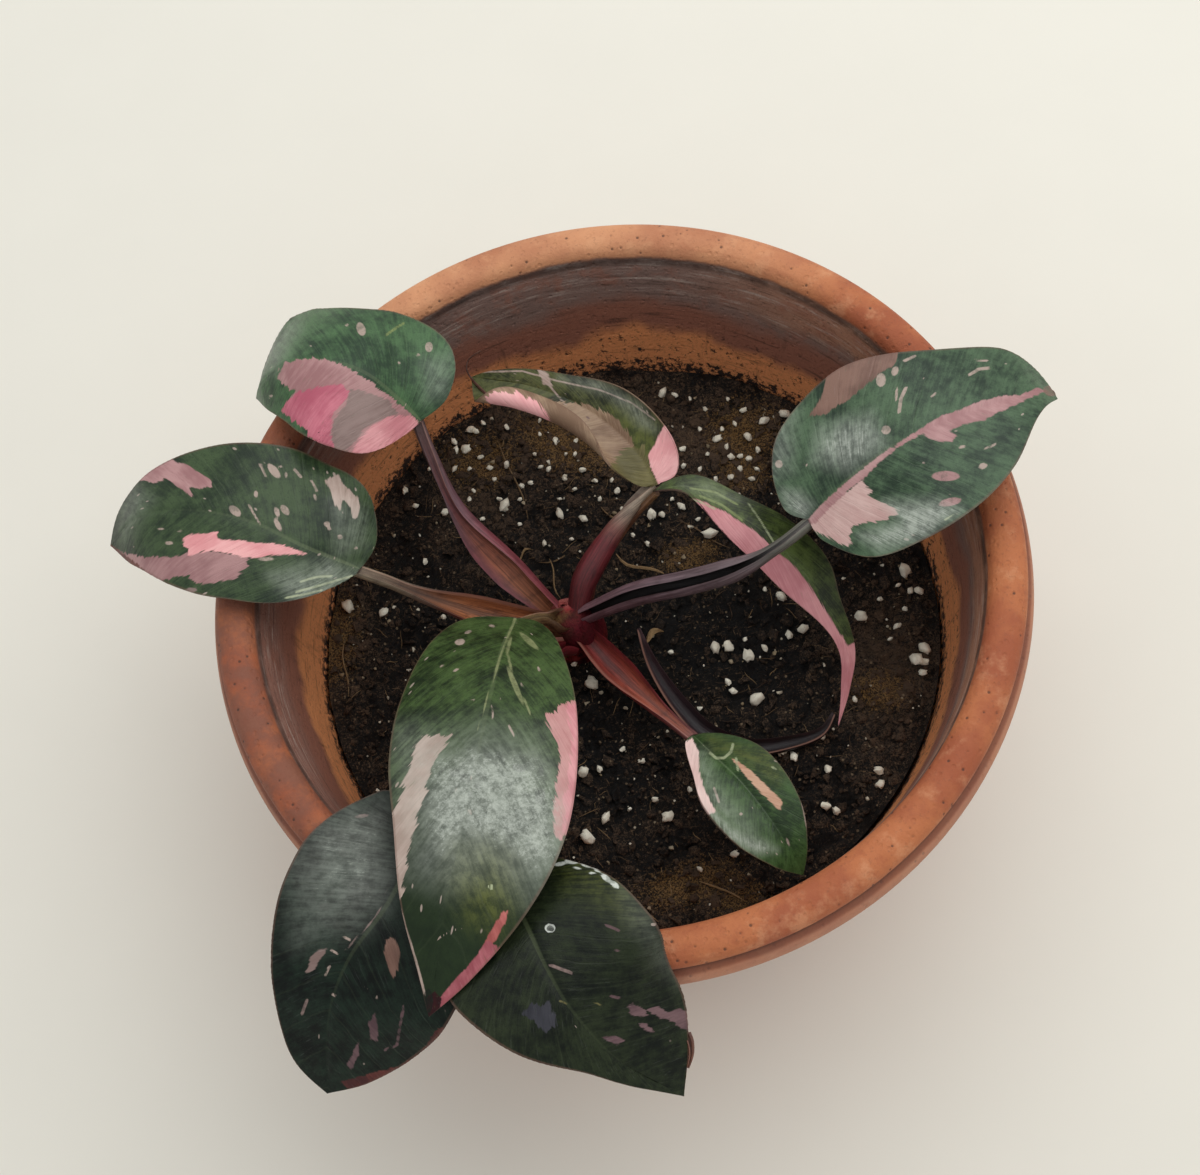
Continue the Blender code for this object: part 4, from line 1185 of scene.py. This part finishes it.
leaves["leaf_front_right"] = {
    "rib": ((-52, -86, 127), (-48, -104, 135), (-45, -118, 136), (-41, -130, 133), (-32, -144, 122),
        (-18, -154, 105)),
    "left": ((-0.03, 8), (0.06, 17), (0.2, 27), (0.4, 32), (0.6, 31), (0.8, 26), (0.93, 14)),
    "leftRise": (5, 0, -8),
    "right": ((-0.03, 8), (0.04, 17), (0.18, 25), (0.33, 27), (0.5, 19), (0.67, 8), (0.85, 3)),
    "rightRise": (5, 0, -10), "stalk": ((-19, -3, 77), (-27, -8, 86), (-40, -36, 99), (-47, -66, 114)),
    "sheath": (0.5, 4.0, 0.3), "gape": 60, "twist": 0, "wings": (0.1, 0.1),
    "shade": (paint("28301e"), paint("0c120c")),
    "marks": (
        ("violet", 2.0, ((522, 1014), (532, 1003), (540, 1006), (548, 1002), (556, 1015), (555, 1030),
            (545, 1031), (536, 1022))),
        ("dusk", 1.5, ((625, 1008), (632, 1003), (642, 1008), (648, 1015), (640, 1017), (631, 1013))),
        ("dusk", 1.0, ((638, 1022), (650, 1026), (654, 1032), (642, 1029))),
        ("dusk", 1.2, ((647, 1010), (658, 1006), (668, 1012), (680, 1008), (694, 1018), (694, 1034),
            (680, 1027), (670, 1020), (659, 1017))),
        ("dusk", 1.0, ((602, 1037), (615, 1036), (626, 1041), (616, 1045))),
    ),
    "lines": {
        "mauve": ((2.6, ((550, 965), (572, 973))),),
        "dusk": (
            (2.2, ((606, 925), (620, 931))), (2.4, ((610, 996), (620, 998))),
            (2.0, ((614, 950), (620, 951))),
        ),
        "olive": ((1.4, ((560, 1001), (568, 1004))), (1.2, ((594, 1002), (604, 1007)))),
    },
    "dabs": {
        # painted highlights: wet reflections along the top of the blade, and a bright ring round a dark spot
        "glint": (
            (560, 864, 6, 2, -10), (572, 861, 7, 3, 0), (586, 865, 5, 2.4, 20), (597, 870, 4, 1.6, 40),
            (606, 878, 6, 2.8, 42), (615, 885, 5, 2.8, 45), (592, 873, 3, 1.4, 0), (577, 868, 4, 1.2, 10),
            (550, 928, 5.4, 4.8, 0),
        ),
        "pit": ((550.5, 928.5, 4.2, 3.6, 0),),
        "pale": ((577, 981, 1.6, 1.6, 0),),
    },
    "flecks": 0.01, "gloss": 0.14, "dots": 0.25,
    # a lighter olive patch on the top of the blade, where it faces up to the lamp: painted light
    "glow": (
        ("moss", 0.45, 20, ((552, 862), (575, 852), (620, 866), (650, 900), (640, 925), (600, 905),
            (565, 890))),
    ),
    "sheen": ((0.25, 16, ((618, 885), (640, 895), (668, 945), (680, 985), (655, 960), (628, 920))),),
    "outer": ((0, "701c24"), (0.6, "5a2a30"), (1, "4c3434")),
    "groove": ((0, "8c3430"), (0.6, "5a2a30"), (1, "4c3434")),
}
blades = {
    "rows": 190, "columns": 56, "thickness": 0.6, "bendSteps": 8, "ripple": 0.8, "veinFan": 2.1,
    "veins": 13, "groove": 0.35, "grooveWidth": 1.1, "quilting": 0.035,
    "underside": paint("4e2e30"), "margin": paint("705448"), "dustAndSheen": paint("bec4b8"),
    "rib": paint("7a8660"),
}


def edgeOf(shape, side, length):
    inner = [(share * length, out, 0) for share, out in shape[side]]
    return Rib([(0, 0, 0), *inner, (length, 0, 0)])


def bladePoint(shape, rib, along, out, side, raised):
    base, body, curl = shape[side + "Rise"]
    share = along / rib.length
    half = max(width for _, width in shape[side])
    point, _, beside, above = rib.at(share)
    rise = mix(base, body, eased((share + 0.05) / 0.35))
    lift = blades["ripple"] * (out / half) ** 2 * math.sin(9 * share + rib.length) + raised
    across = 0.0
    for k in range(blades["bendSteps"]):
        slope = math.radians(rise + curl * (out / half * (k + 0.5) / blades["bendSteps"]) ** 2)
        across += out / blades["bendSteps"] * math.cos(slope)
        lift += out / blades["bendSteps"] * math.sin(slope)
    return point + (across if side == "right" else -across) * beside + lift * above


def strewn(shape):
    # the tints of the lines and dabs, each once
    return dict.fromkeys((*shape.get("lines", ()), *shape.get("dabs", ())))


def castMarks(piece, shape):
    # the markings as numbers on the piece's points, above 0 inside each
    pixels = pixelsOf(pointsOf(piece))
    fields = {f"mark{k}": outlineDepth(pixels, outline) for k, (*_, outline) in enumerate(shape["marks"])}
    for tint in strewn(shape):
        lines = [width / 2 + 0.3 - lineReach(pixels, line) for width, line in shape["lines"].get(tint, ())]
        dabs = [dabDepth(pixels, *dab) for dab in shape["dabs"].get(tint, ())]
        fields[tint] = np.max([*lines, *dabs], axis=0)
    soft = [("sheen", *row) for row in shape.get("sheen", ())]
    soft += [(f"glow{k}", *row) for k, (_, *row) in enumerate(shape.get("glow", ()))]
    for name, strength, softness, outline in soft:
        share = np.clip(0.5 + outlineDepth(pixels, outline) / (2 * softness), 0, 1)
        fields[name] = np.maximum(fields.get(name, 0), strength * share * share * (3 - 2 * share))
    for name, values in fields.items():
        mark(piece, name, values)


def lighter(colour, share):
    return (*(mix(value, 1, share * 0.5) for value in colour[:3]), 1)


def leafFinish(name, shape):
    skin = Finish(name)
    down, across = skin.onSheet()
    side = 1 - 2 * across
    place = skin.places()
    light, deep = shape["shade"]
    under = skin.attribute("under")
    streaks = skin.noise(skin.vector(down * 75, side * 2.6), 1, 5, 0.62)
    hairs = skin.noise(skin.vector(down * 210, side * 3.4, 7.0), 1, 4, 0.65)
    fray = skin.noise(skin.vector(down * 62, side * 2.4, 3.0), 1, 4, 0.65) - 0.5
    clouds = skin.noise(place, 0.07, 3)
    speckle = skin.noise(place, 1.5, 4, 0.7)
    mottle = skin.noise(place, 0.3, 5, 0.7)
    colour = skin.mix((streaks * 0.3 + clouds * 0.4 + mottle * 0.3).smooth(0.39, 0.6), deep, light)
    colour = skin.mix(hairs.smooth(0.56, 0.76) * 0.3, colour, lighter(light, 0.16))
    colour = skin.mix(hairs.smooth(0.46, 0.28) * 0.35, colour, deep)
    colour = skin.mix(speckle.smooth(0.47, 0.34) * 0.5, colour, deep)
    if "darkTip" in shape:
        colour = skin.mix(down.smooth(0.5, 0.8) * shape["darkTip"], colour, deep)
    # faint veins from the midrib to the edge, and the midrib itself
    veinPlace = (down * blades["veins"] + skin.noise(place, 0.09, 2) * 0.4).fract()
    vein = (abs(veinPlace - 0.5) * 2).smooth(0.9, 1.0)
    colour = skin.mix(vein * 0.03, colour, blades["rib"])
    midrib = abs(side).smooth(0.032, 0.012)
    colour = skin.mix(midrib * down.smooth(1.0, 0.1) * 0.35, colour, blades["rib"])
    for k, (tint, *_) in enumerate(shape.get("glow", ())):
        shades = skin.mix(mottle.smooth(0.38, 0.6), *tints[tint][::-1])
        colour = skin.mix(skin.attribute(f"glow{k}") * (0.4 + 0.6 * streaks.smooth(0.4, 0.6)), colour, shades)
    if "under" in shape:
        colour = skin.mix(under, colour, skin.mix((streaks * 0.5 + clouds * 0.5).smooth(0.4, 0.6),
                                                  *tints[shape["under"]]))
    # small flecks stretched along the veins
    if shape["flecks"]:
        cell, drawn = skin.cells(skin.vector(down * 42, side * 9), 1)
        chosen = drawn.smooth(shape["flecks"] + 0.01, shape["flecks"])
        colour = skin.mix(chosen * cell.smooth(0.26, 0.18) * 0.6, colour, tints["pale"][0])
    for k, (tint, ragged, _) in enumerate(shape["marks"]):
        inside = (skin.attribute(f"mark{k}") + fray * (ragged * 9)).smooth(-0.9, 0.9)
        shades = skin.mix((streaks * 0.4 + clouds * 0.6).smooth(0.38, 0.62), *tints[tint])
        shades = skin.mix(hairs.smooth(0.6, 0.72) * 0.3, shades, lighter(tints[tint][0], 0.3))
        shades = skin.mix(hairs.smooth(0.4, 0.28) * 0.45, shades, light)
        colour = skin.mix(inside, colour, shades)
    for tint in strewn(shape):
        inside = (skin.attribute(tint) + fray * 1.2).smooth(-0.5, 0.5)
        colour = skin.mix(inside * (0.5 + 0.4 * mottle.smooth(0.38, 0.56)), colour,
                          skin.mix(streaks, *tints[tint]))
    # water stains and dust, together with painted highlights and reflections, which break into streaks and
    # dots
    sheen = skin.attribute("sheen")
    dots = shape["dots"]
    drops = skin.noise(place, 0.9, 6, 0.85) * dots + hairs * (0.8 - dots) + mottle * 0.2
    stainsAndSheen = (drops + (sheen - 1) * 0.2).smooth(0.46, 0.64) * sheen.smooth(0, 0.7)
    haze = 0.4 + 0.6 * (mottle * 0.5 + streaks * 0.5).smooth(0.36, 0.62)
    colour = skin.mix(sheen * haze * 0.46, colour, blades["dustAndSheen"])
    colour = skin.mix(stainsAndSheen * 0.7, colour, blades["dustAndSheen"])
    colour = skin.mix(abs(side).smooth(0.972, 0.99) * 0.4, colour, blades["margin"])
    if "under" not in shape:
        colour = skin.mix(under * 0.72, colour, blades["underside"])
    height = vein * -0.2 + streaks * 0.3 + hairs * 0.25 + speckle * 0.3
    rough = 0.24 + 0.2 * clouds + under * 0.25
    return skin.surface(Base_Color=colour, Roughness=rough + stainsAndSheen * 0.2, Specular_IOR_Level=shape["gloss"],
                        Normal=skin.bump(height, 0.2))


def makeBlade(name, shape):
    rib = Rib(shape["rib"])
    edges = {side: edgeOf(shape, side, rib.length) for side in ("left", "right")}
    edgePoints = {}

    def place(down, across):
        share = 1 - 2 * across
        side = "right" if share > 0 else "left"
        if (side, down) not in edgePoints:
            edgePoints[side, down] = edges[side].at(down)[0]
        edge = edgePoints[side, down]
        out = abs(share)
        root = rib.length * down ** blades["veinFan"]
        wide = out * edge.y
        groove = -blades["groove"] * math.exp(-(wide / blades["grooveWidth"]) ** 2) * eased(edge.y / 6)
        quilt = math.cos(tau * down * blades["veins"]) * 4 * out * (1 - out)
        raised = groove + blades["quilting"] * quilt * eased(edge.y / 12)
        return bladePoint(shape, rib, mix(root, edge.x, out**1.2), wide, side, raised)

    piece = gridPiece(blades["rows"], blades["columns"], place)
    edit(piece, lambda: bpy.ops.mesh.remove_doubles(threshold=0.00001),
         lambda: bpy.ops.mesh.dissolve_degenerate(threshold=0.000001))
    upper = len(piece.data.vertices)
    applyModifier(piece, "SOLIDIFY", thickness=blades["thickness"] * mm, offset=0)
    mark(piece, "under", [float(k >= upper) for k in range(len(piece.data.vertices))])
    castMarks(piece, shape)
    smoothShade(piece, 60)
    finishPiece(piece, name.replace("leaf_", "blade_"), leafFinish(name, shape), name)


for name, shape in leaves.items():
    makeBlade(name, shape)
print("leaves grown")


# the stem: its crown, and the grooved stalks whose sheaths wrap it
stalks = {
    "rings": 90, "outer": 30, "inner": 22, "end": 2.0, "opening": 38, "foot": 0.8, "wall": 1.0,
    # the share of the way round that is outside, and the share that is drawn before the seam
    "outerShare": 0.585, "seam": 0.999,
    # how far along the wings reach, how much they widen the sheath, how near its lips the groove goes
    "wingReach": 0.75, "widening": 0.35, "lipShare": 0.86,
    # how dark the painted shade in the fold and how pale the lips are, and the colours of both and of the
    # fibres
    "creases": (0.5, 0.4), "fold": paint("100a0c"), "lip": paint("b08270"),
    "fibres": (paint("968c8c"), paint("fffaf5")),
}
crown = {
    "place": (-17, 5), "sides": 64,
    "profile": ((7.5, 45), (7.5, 58), (7.5, 66), (8.4, 68.5), (8.8, 71), (8.6, 74), (7.8, 77), (6.6, 79.6),
                (5, 81.4), (3.2, 82.6), (1.2, 83.2)),
    # sheath bases: direction in degrees, half width in degrees, height of the tip, lean, tone
    "scales": ((118, 80, 84.2, 1.2, 0.1), (40, 76, 83, 0.8, 0.2), (-150, 80, 82.6, 0.6, 0.8),
               (-45, 84, 82.4, 0.8, 0.3)),
    "red": paint("883030"), "dark": paint("2c0c12"), "olive": paint("765436"),
    "marks": (
        ("knob", 1.0, ((526, 592), (536, 582), (552, 580), (568, 592), (573, 606), (556, 611), (540, 609),
            (530, 607))),
        ("husk", 1.0, ((528, 609), (546, 610), (562, 611), (572, 613), (568, 622), (555, 627), (540, 625),
            (524, 616))),
        ("wine", 1.0, ((556, 627), (570, 614), (576, 600), (592, 604), (606, 625), (600, 652), (566, 654))),
    ),
    "scaleGrid": (22, 16), "scaleThickness": 0.7, "scaleFoot": 64, "scaleRadius": 8.8, "scaleStep": 0.22,
    "drawnIn": 5.4,
}


def stalkFinish(name, outer, groove, crease, lip):
    rind = Finish(name)
    along, around = rind.onSheet()
    place = rind.places()
    fibres = rind.noise(rind.vector(along * 5, around * 60), 1, 4, 0.6)
    inside = around.smooth(0.57, 0.6) * around.smooth(1.0, 0.97)
    skin = rind.ramp(along, *((share, paint(code)) for share, code in outer))
    deep = rind.ramp(along, *((share, paint(code)) for share, code in groove))
    colour = rind.mix(inside, skin, deep)
    shade = rind.mix(fibres.smooth(0.3, 0.7), *stalks["fibres"])
    colour = rind.mix(0.9, colour, shade, "MULTIPLY")
    colour = rind.mix(rind.noise(place, 0.25, 4).smooth(0.5, 0.7) * 0.35, colour, crown["dark"])
    # the fold along the middle of the groove is darkened, painted shade deep in the crease; the thin edges of
    # the sheath are pale
    fold = abs(around - 0.79).smooth(0.075, 0.01) * along.smooth(0.95, 0.75)
    colour = rind.mix(fold * crease, colour, stalks["fold"])
    lips = abs(around - stalks["outerShare"]).smooth(0.014, 0.004)
    colour = rind.mix(lips * lip, colour, stalks["lip"])
    height = fibres * 0.7 + rind.noise(place, 1.2, 3) * 0.4
    return rind.surface(Base_Color=colour, Roughness=0.36 + 0.2 * fibres, Normal=rind.bump(height, 0.3))


def sweepChannel(path, section, wings, twist=0):
    # a grooved stalk: a grid rolled round its section, closed at its ends
    rib = Rib(path)
    outerShare = stalks["outerShare"]

    def place(along, around):
        around *= stalks["seam"]
        radius, opening, depth = section(along)
        centre, _, side, up = rib.at(along)
        roll = math.radians(twist) * (1 - eased((along - 0.55) / 0.45))
        side, up = side * math.cos(roll) + up * math.sin(roll), up * math.cos(roll) - side * math.sin(roll)
        reach = math.pi - math.radians(opening)
        swell = math.sin(math.pi * min(along / stalks["wingReach"], 1)) ** 2
        if around <= outerShare:
            turn = reach * mix(-1, 1, around / outerShare)
            flare = (wings[0] if turn < 0 else wings[1]) * swell * eased(abs(turn) / reach * 2 - 1)
            grown = radius * (1 + flare * stalks["widening"])
            wave = noise.noise(Vector((along * 9, turn, radius)))
            frill = 1 + 0.05 * eased(abs(turn) / reach * 2 - 1) * wave
            return centre + grown * frill * (side * math.sin(turn) - up * math.cos(turn))
        t = stalks["lipShare"] * mix(1, -1, (around - outerShare) / (1 - outerShare))
        flare = (wings[0] if t < 0 else wings[1]) * swell * eased(abs(t) * 2 - 1)
        halfGap, level = radius * math.sin(reach), -radius * math.cos(reach)
        inside = (radius - stalks["wall"]) * (1 + flare * stalks["widening"])
        flat = Vector((halfGap * t, level))
        deep = inside * Vector((math.sin(reach * t), -math.cos(reach * t)))
        x, z = flat.lerp(deep, depth)
        return centre + side * x + up * z

    columns, ring = stalks["outer"] + stalks["inner"], stalks["rings"] + 1
    piece = gridPiece(stalks["rings"], columns, place)
    # the seam is drawn together, and both ends are filled
    seam = bmesh.new()
    seam.from_mesh(piece.data)
    seam.verts.ensure_lookup_table()
    pairs = {seam.verts[columns * ring + k]: seam.verts[k] for k in range(ring)}
    bmesh.ops.weld_verts(seam, targetmap=pairs)
    seam.to_mesh(piece.data)
    seam.free()
    edit(piece, lambda: bpy.ops.mesh.select_all(action="DESELECT"),
         bpy.ops.mesh.select_non_manifold,
         lambda: bpy.ops.mesh.fill_holes(sides=0),
         lambda: bpy.ops.mesh.select_all(action="SELECT"),
         lambda: bpy.ops.mesh.normals_make_consistent(inside=False))
    return piece


def makeStalk(name, shape):
    base, along, _, above = Rib(shape["rib"]).at(0)
    reach = shape.get("end", stalks["end"]) * math.cos(math.radians(stalks["opening"])) + 0.7
    seat = base - above * reach + along * 0.5

    def section(share):
        ends, widest, staysWide = shape["sheath"]
        close = eased((share / ends - staysWide) / (1 - staysWide))
        sheath = widest * mix(stalks["foot"], 1, eased(share / ends * 3))
        return (mix(sheath, shape.get("end", stalks["end"]), close),
                mix(shape["gape"], min(stalks["opening"], shape["gape"]), close), mix(1, 0.15, close))

    piece = sweepChannel([*shape["stalk"], seat], section, shape["wings"], shape["twist"])
    smoothShade(piece, 60)
    name = name.replace("leaf_", "stalk_")
    finish = stalkFinish(name, shape["outer"], shape["groove"], *shape.get("creases", stalks["creases"]))
    finishPiece(piece, name, finish, "stem")


for name, shape in leaves.items():
    makeStalk(name, shape)

# the dried, curled tips of three leaves: pixels and heights along each, and its radius in mm
curls = {
    "back": (((486, 394, 111.2), (478, 386, 111), (471, 378, 110.6), (467, 370, 111), (468, 361, 112),
              (474, 355, 113), (481, 351, 113)), 0.5),
    "front_right": (((686, 1034, 109.6), (690, 1043, 109), (691, 1055, 108), (688, 1068, 107.2)), 1.5),
    "right": (((1036, 391, 130), (1046, 390, 128), (1053, 392, 126.5), (1056, 399, 126)), 0.9),
}


def makeCurl(name, path, radius):
    piece = sweepChannel([underPixel(*spot) for spot in path],
                         lambda share: (radius * mix(1, 0.25, share), 25, 0.3), (0, 0))
    smoothShade(piece, 60)
    finish = stalkFinish(f"tip_{name}", ((0, "6a4034"), (1, "845236")), ((0, "54322a"), (1, "6a422e")),
                         crease=0.55, lip=0.4)
    finishPiece(piece, f"tip_{name}", finish, f"leaf_{name}")


for name, (path, radius) in curls.items():
    makeCurl(name, path, radius)


def crownFinish(toned=False):
    bark = Finish("crown")
    place = bark.places()
    clouds = bark.noise(place, 0.22, 4)
    fibres = bark.noise(bark.stretched(place, (1, 1, 0.2)), 1.6, 4, 0.6)
    colour = bark.mix(clouds.smooth(0.35, 0.6), crown["dark"], crown["red"])
    if toned:
        colour = bark.mix(bark.attribute("tone").smooth(0.3, 1), colour, crown["olive"])
    colour = bark.mix(bark.noise(place, 0.12, 3).smooth(0.52, 0.68) * 0.7, colour, crown["olive"])
    for k, (tint, *_) in enumerate(crown["marks"]):
        inside = (bark.attribute(f"mark{k}") + (fibres - 0.5) * 14).smooth(-3, 3)
        colour = bark.mix(inside * 0.85, colour, bark.mix(clouds.smooth(0.4, 0.6), *tints[tint]))
    colour = bark.mix(fibres.smooth(0.5, 0.34) * 0.6, colour, crown["dark"])
    return bark.surface(Base_Color=colour, Roughness=0.5 + 0.2 * fibres, Specular_IOR_Level=0.12,
                        Normal=bark.bump(fibres, 0.5))


def makeCrown():
    # turned up from its foot, then folded like the bases of old sheaths
    x, y = (value * mm for value in crown["place"])
    piece = turnedPiece(crown["profile"], crown["sides"])
    for vertex in piece.data.vertices:
        turn = math.atan2(vertex.co.y, vertex.co.x)
        height = vertex.co.z / mm
        folds = 1 + 0.05 * math.sin(3 * turn + height / 6) * eased((height - 66) / 6)
        vertex.co.x, vertex.co.y = vertex.co.x * folds + x, vertex.co.y * folds + y
    castMarks(piece, crown)
    smoothShade(piece)
    finishPiece(piece, "crown", crownFinish(), "stem")


def makeScales():
    # each wraps part of the crown, from its foot to a rounded tip that leans over it
    x, y = crown["place"]
    grown = []
    for number, (turn, reach, top, leanOut, tone) in enumerate(crown["scales"]):
        def place(up, around):
            angle = math.radians(turn + reach * (2 * around - 1) * (1 - 0.62 * up**2.2))
            radius = crown["scaleRadius"] + crown["scaleStep"] * number + leanOut * math.sin(up * 2.6)
            radius += 0.4 * math.cos((2 * around - 1) * 1.5) - crown["drawnIn"] * up**2.4
            height = mix(crown["scaleFoot"], top, up) - 3.0 * (2 * around - 1) ** 2 * up
            return Vector((x + radius * math.cos(angle), y + radius * math.sin(angle), height))

        piece = gridPiece(*crown["scaleGrid"], place)
        applyModifier(piece, "SOLIDIFY", thickness=crown["scaleThickness"] * mm, offset=0)
        mark(piece, "tone", [tone] * len(piece.data.vertices))
        grown.append(piece)
    activate(grown[0])
    for piece in grown:
        piece.select_set(True)
    bpy.ops.object.join()
    castMarks(grown[0], crown)
    smoothShade(grown[0], 60)
    finishPiece(grown[0], "crown_sheaths", crownFinish(True), "stem")


makeCrown()
makeScales()
print("stalks and crown grown")

# the cataphyll that has fallen onto the soil
cataphyll = {
    "path": ((3, -6, 84), (4, -13, 77), (6, -20, 73), (10, -30, 70), (16, -40, 68.4),
             (27, -48, 68.4), (41, -50, 68.4), (51, -49, 68.6), (56, -45, 71)),
    "radius": 3.1,
    "outer": ((0, "5a4448"), (0.3, "3e2e34"), (0.8, "281c20"), (1, "2e2224")),
    "groove": ((0, "4a363c"), (0.4, "32262c"), (0.85, "1e1518"), (1, "2a2022")),
}


def makeCataphyll():
    def section(share):
        swell = math.sin(math.pi * mix(0.03, 0.95, share)) ** 0.7
        return cataphyll["radius"] * swell, 62, 0.75

    piece = sweepChannel(cataphyll["path"], section, (0.3, 0.3))
    smoothShade(piece, 60)
    finish = stalkFinish("cataphyll", cataphyll["outer"], cataphyll["groove"], crease=0.6, lip=0.55)
    finishPiece(piece, "fallen_cataphyll", finish, "cataphyll")


makeCataphyll()
print("cataphyll laid")


# the floor and the light
studio = {
    "floor": paint("ece9dd"), "floorShade": paint("e8e5d9"), "sky": (0.93, 0.94, 0.95, 1), "skyStrength": 0.7,
    "lampPlace": (0.46, 0.42, 1.15), "lampSize": (1.6, 1.3), "lampPower": 9.5,
}


def setStudio():
    deselectAll()
    bpy.ops.mesh.primitive_plane_add(size=8)
    floor = bpy.context.object
    floor.name = "floor"
    paper = Finish("floor")
    soft = paper.noise(paper.places(), 0.02, 3)
    floor.data.materials.append(paper.surface(
        Base_Color=paper.mix(soft, studio["floor"], studio["floorShade"]), Roughness=0.9))
    world = bpy.data.worlds.new("studio")
    world.use_nodes = True
    sky = world.node_tree.nodes["Background"]
    sky.inputs["Color"].default_value = studio["sky"]
    sky.inputs["Strength"].default_value = studio["skyStrength"]
    bpy.context.scene.world = world
    lamp = bpy.data.lights.new("softbox", "AREA")
    lamp.shape = "RECTANGLE"
    lamp.size, lamp.size_y = studio["lampSize"]
    lamp.energy = studio["lampPower"]
    holder = bpy.data.objects.new("softbox", lamp)
    holder.location = studio["lampPlace"]
    holder.rotation_euler = (-holder.location).to_track_quat("-Z", "Y").to_euler()
    bpy.context.scene.collection.objects.link(holder)
    bpy.context.scene.view_settings.view_transform = "Standard"


setStudio()
print("studio lit")
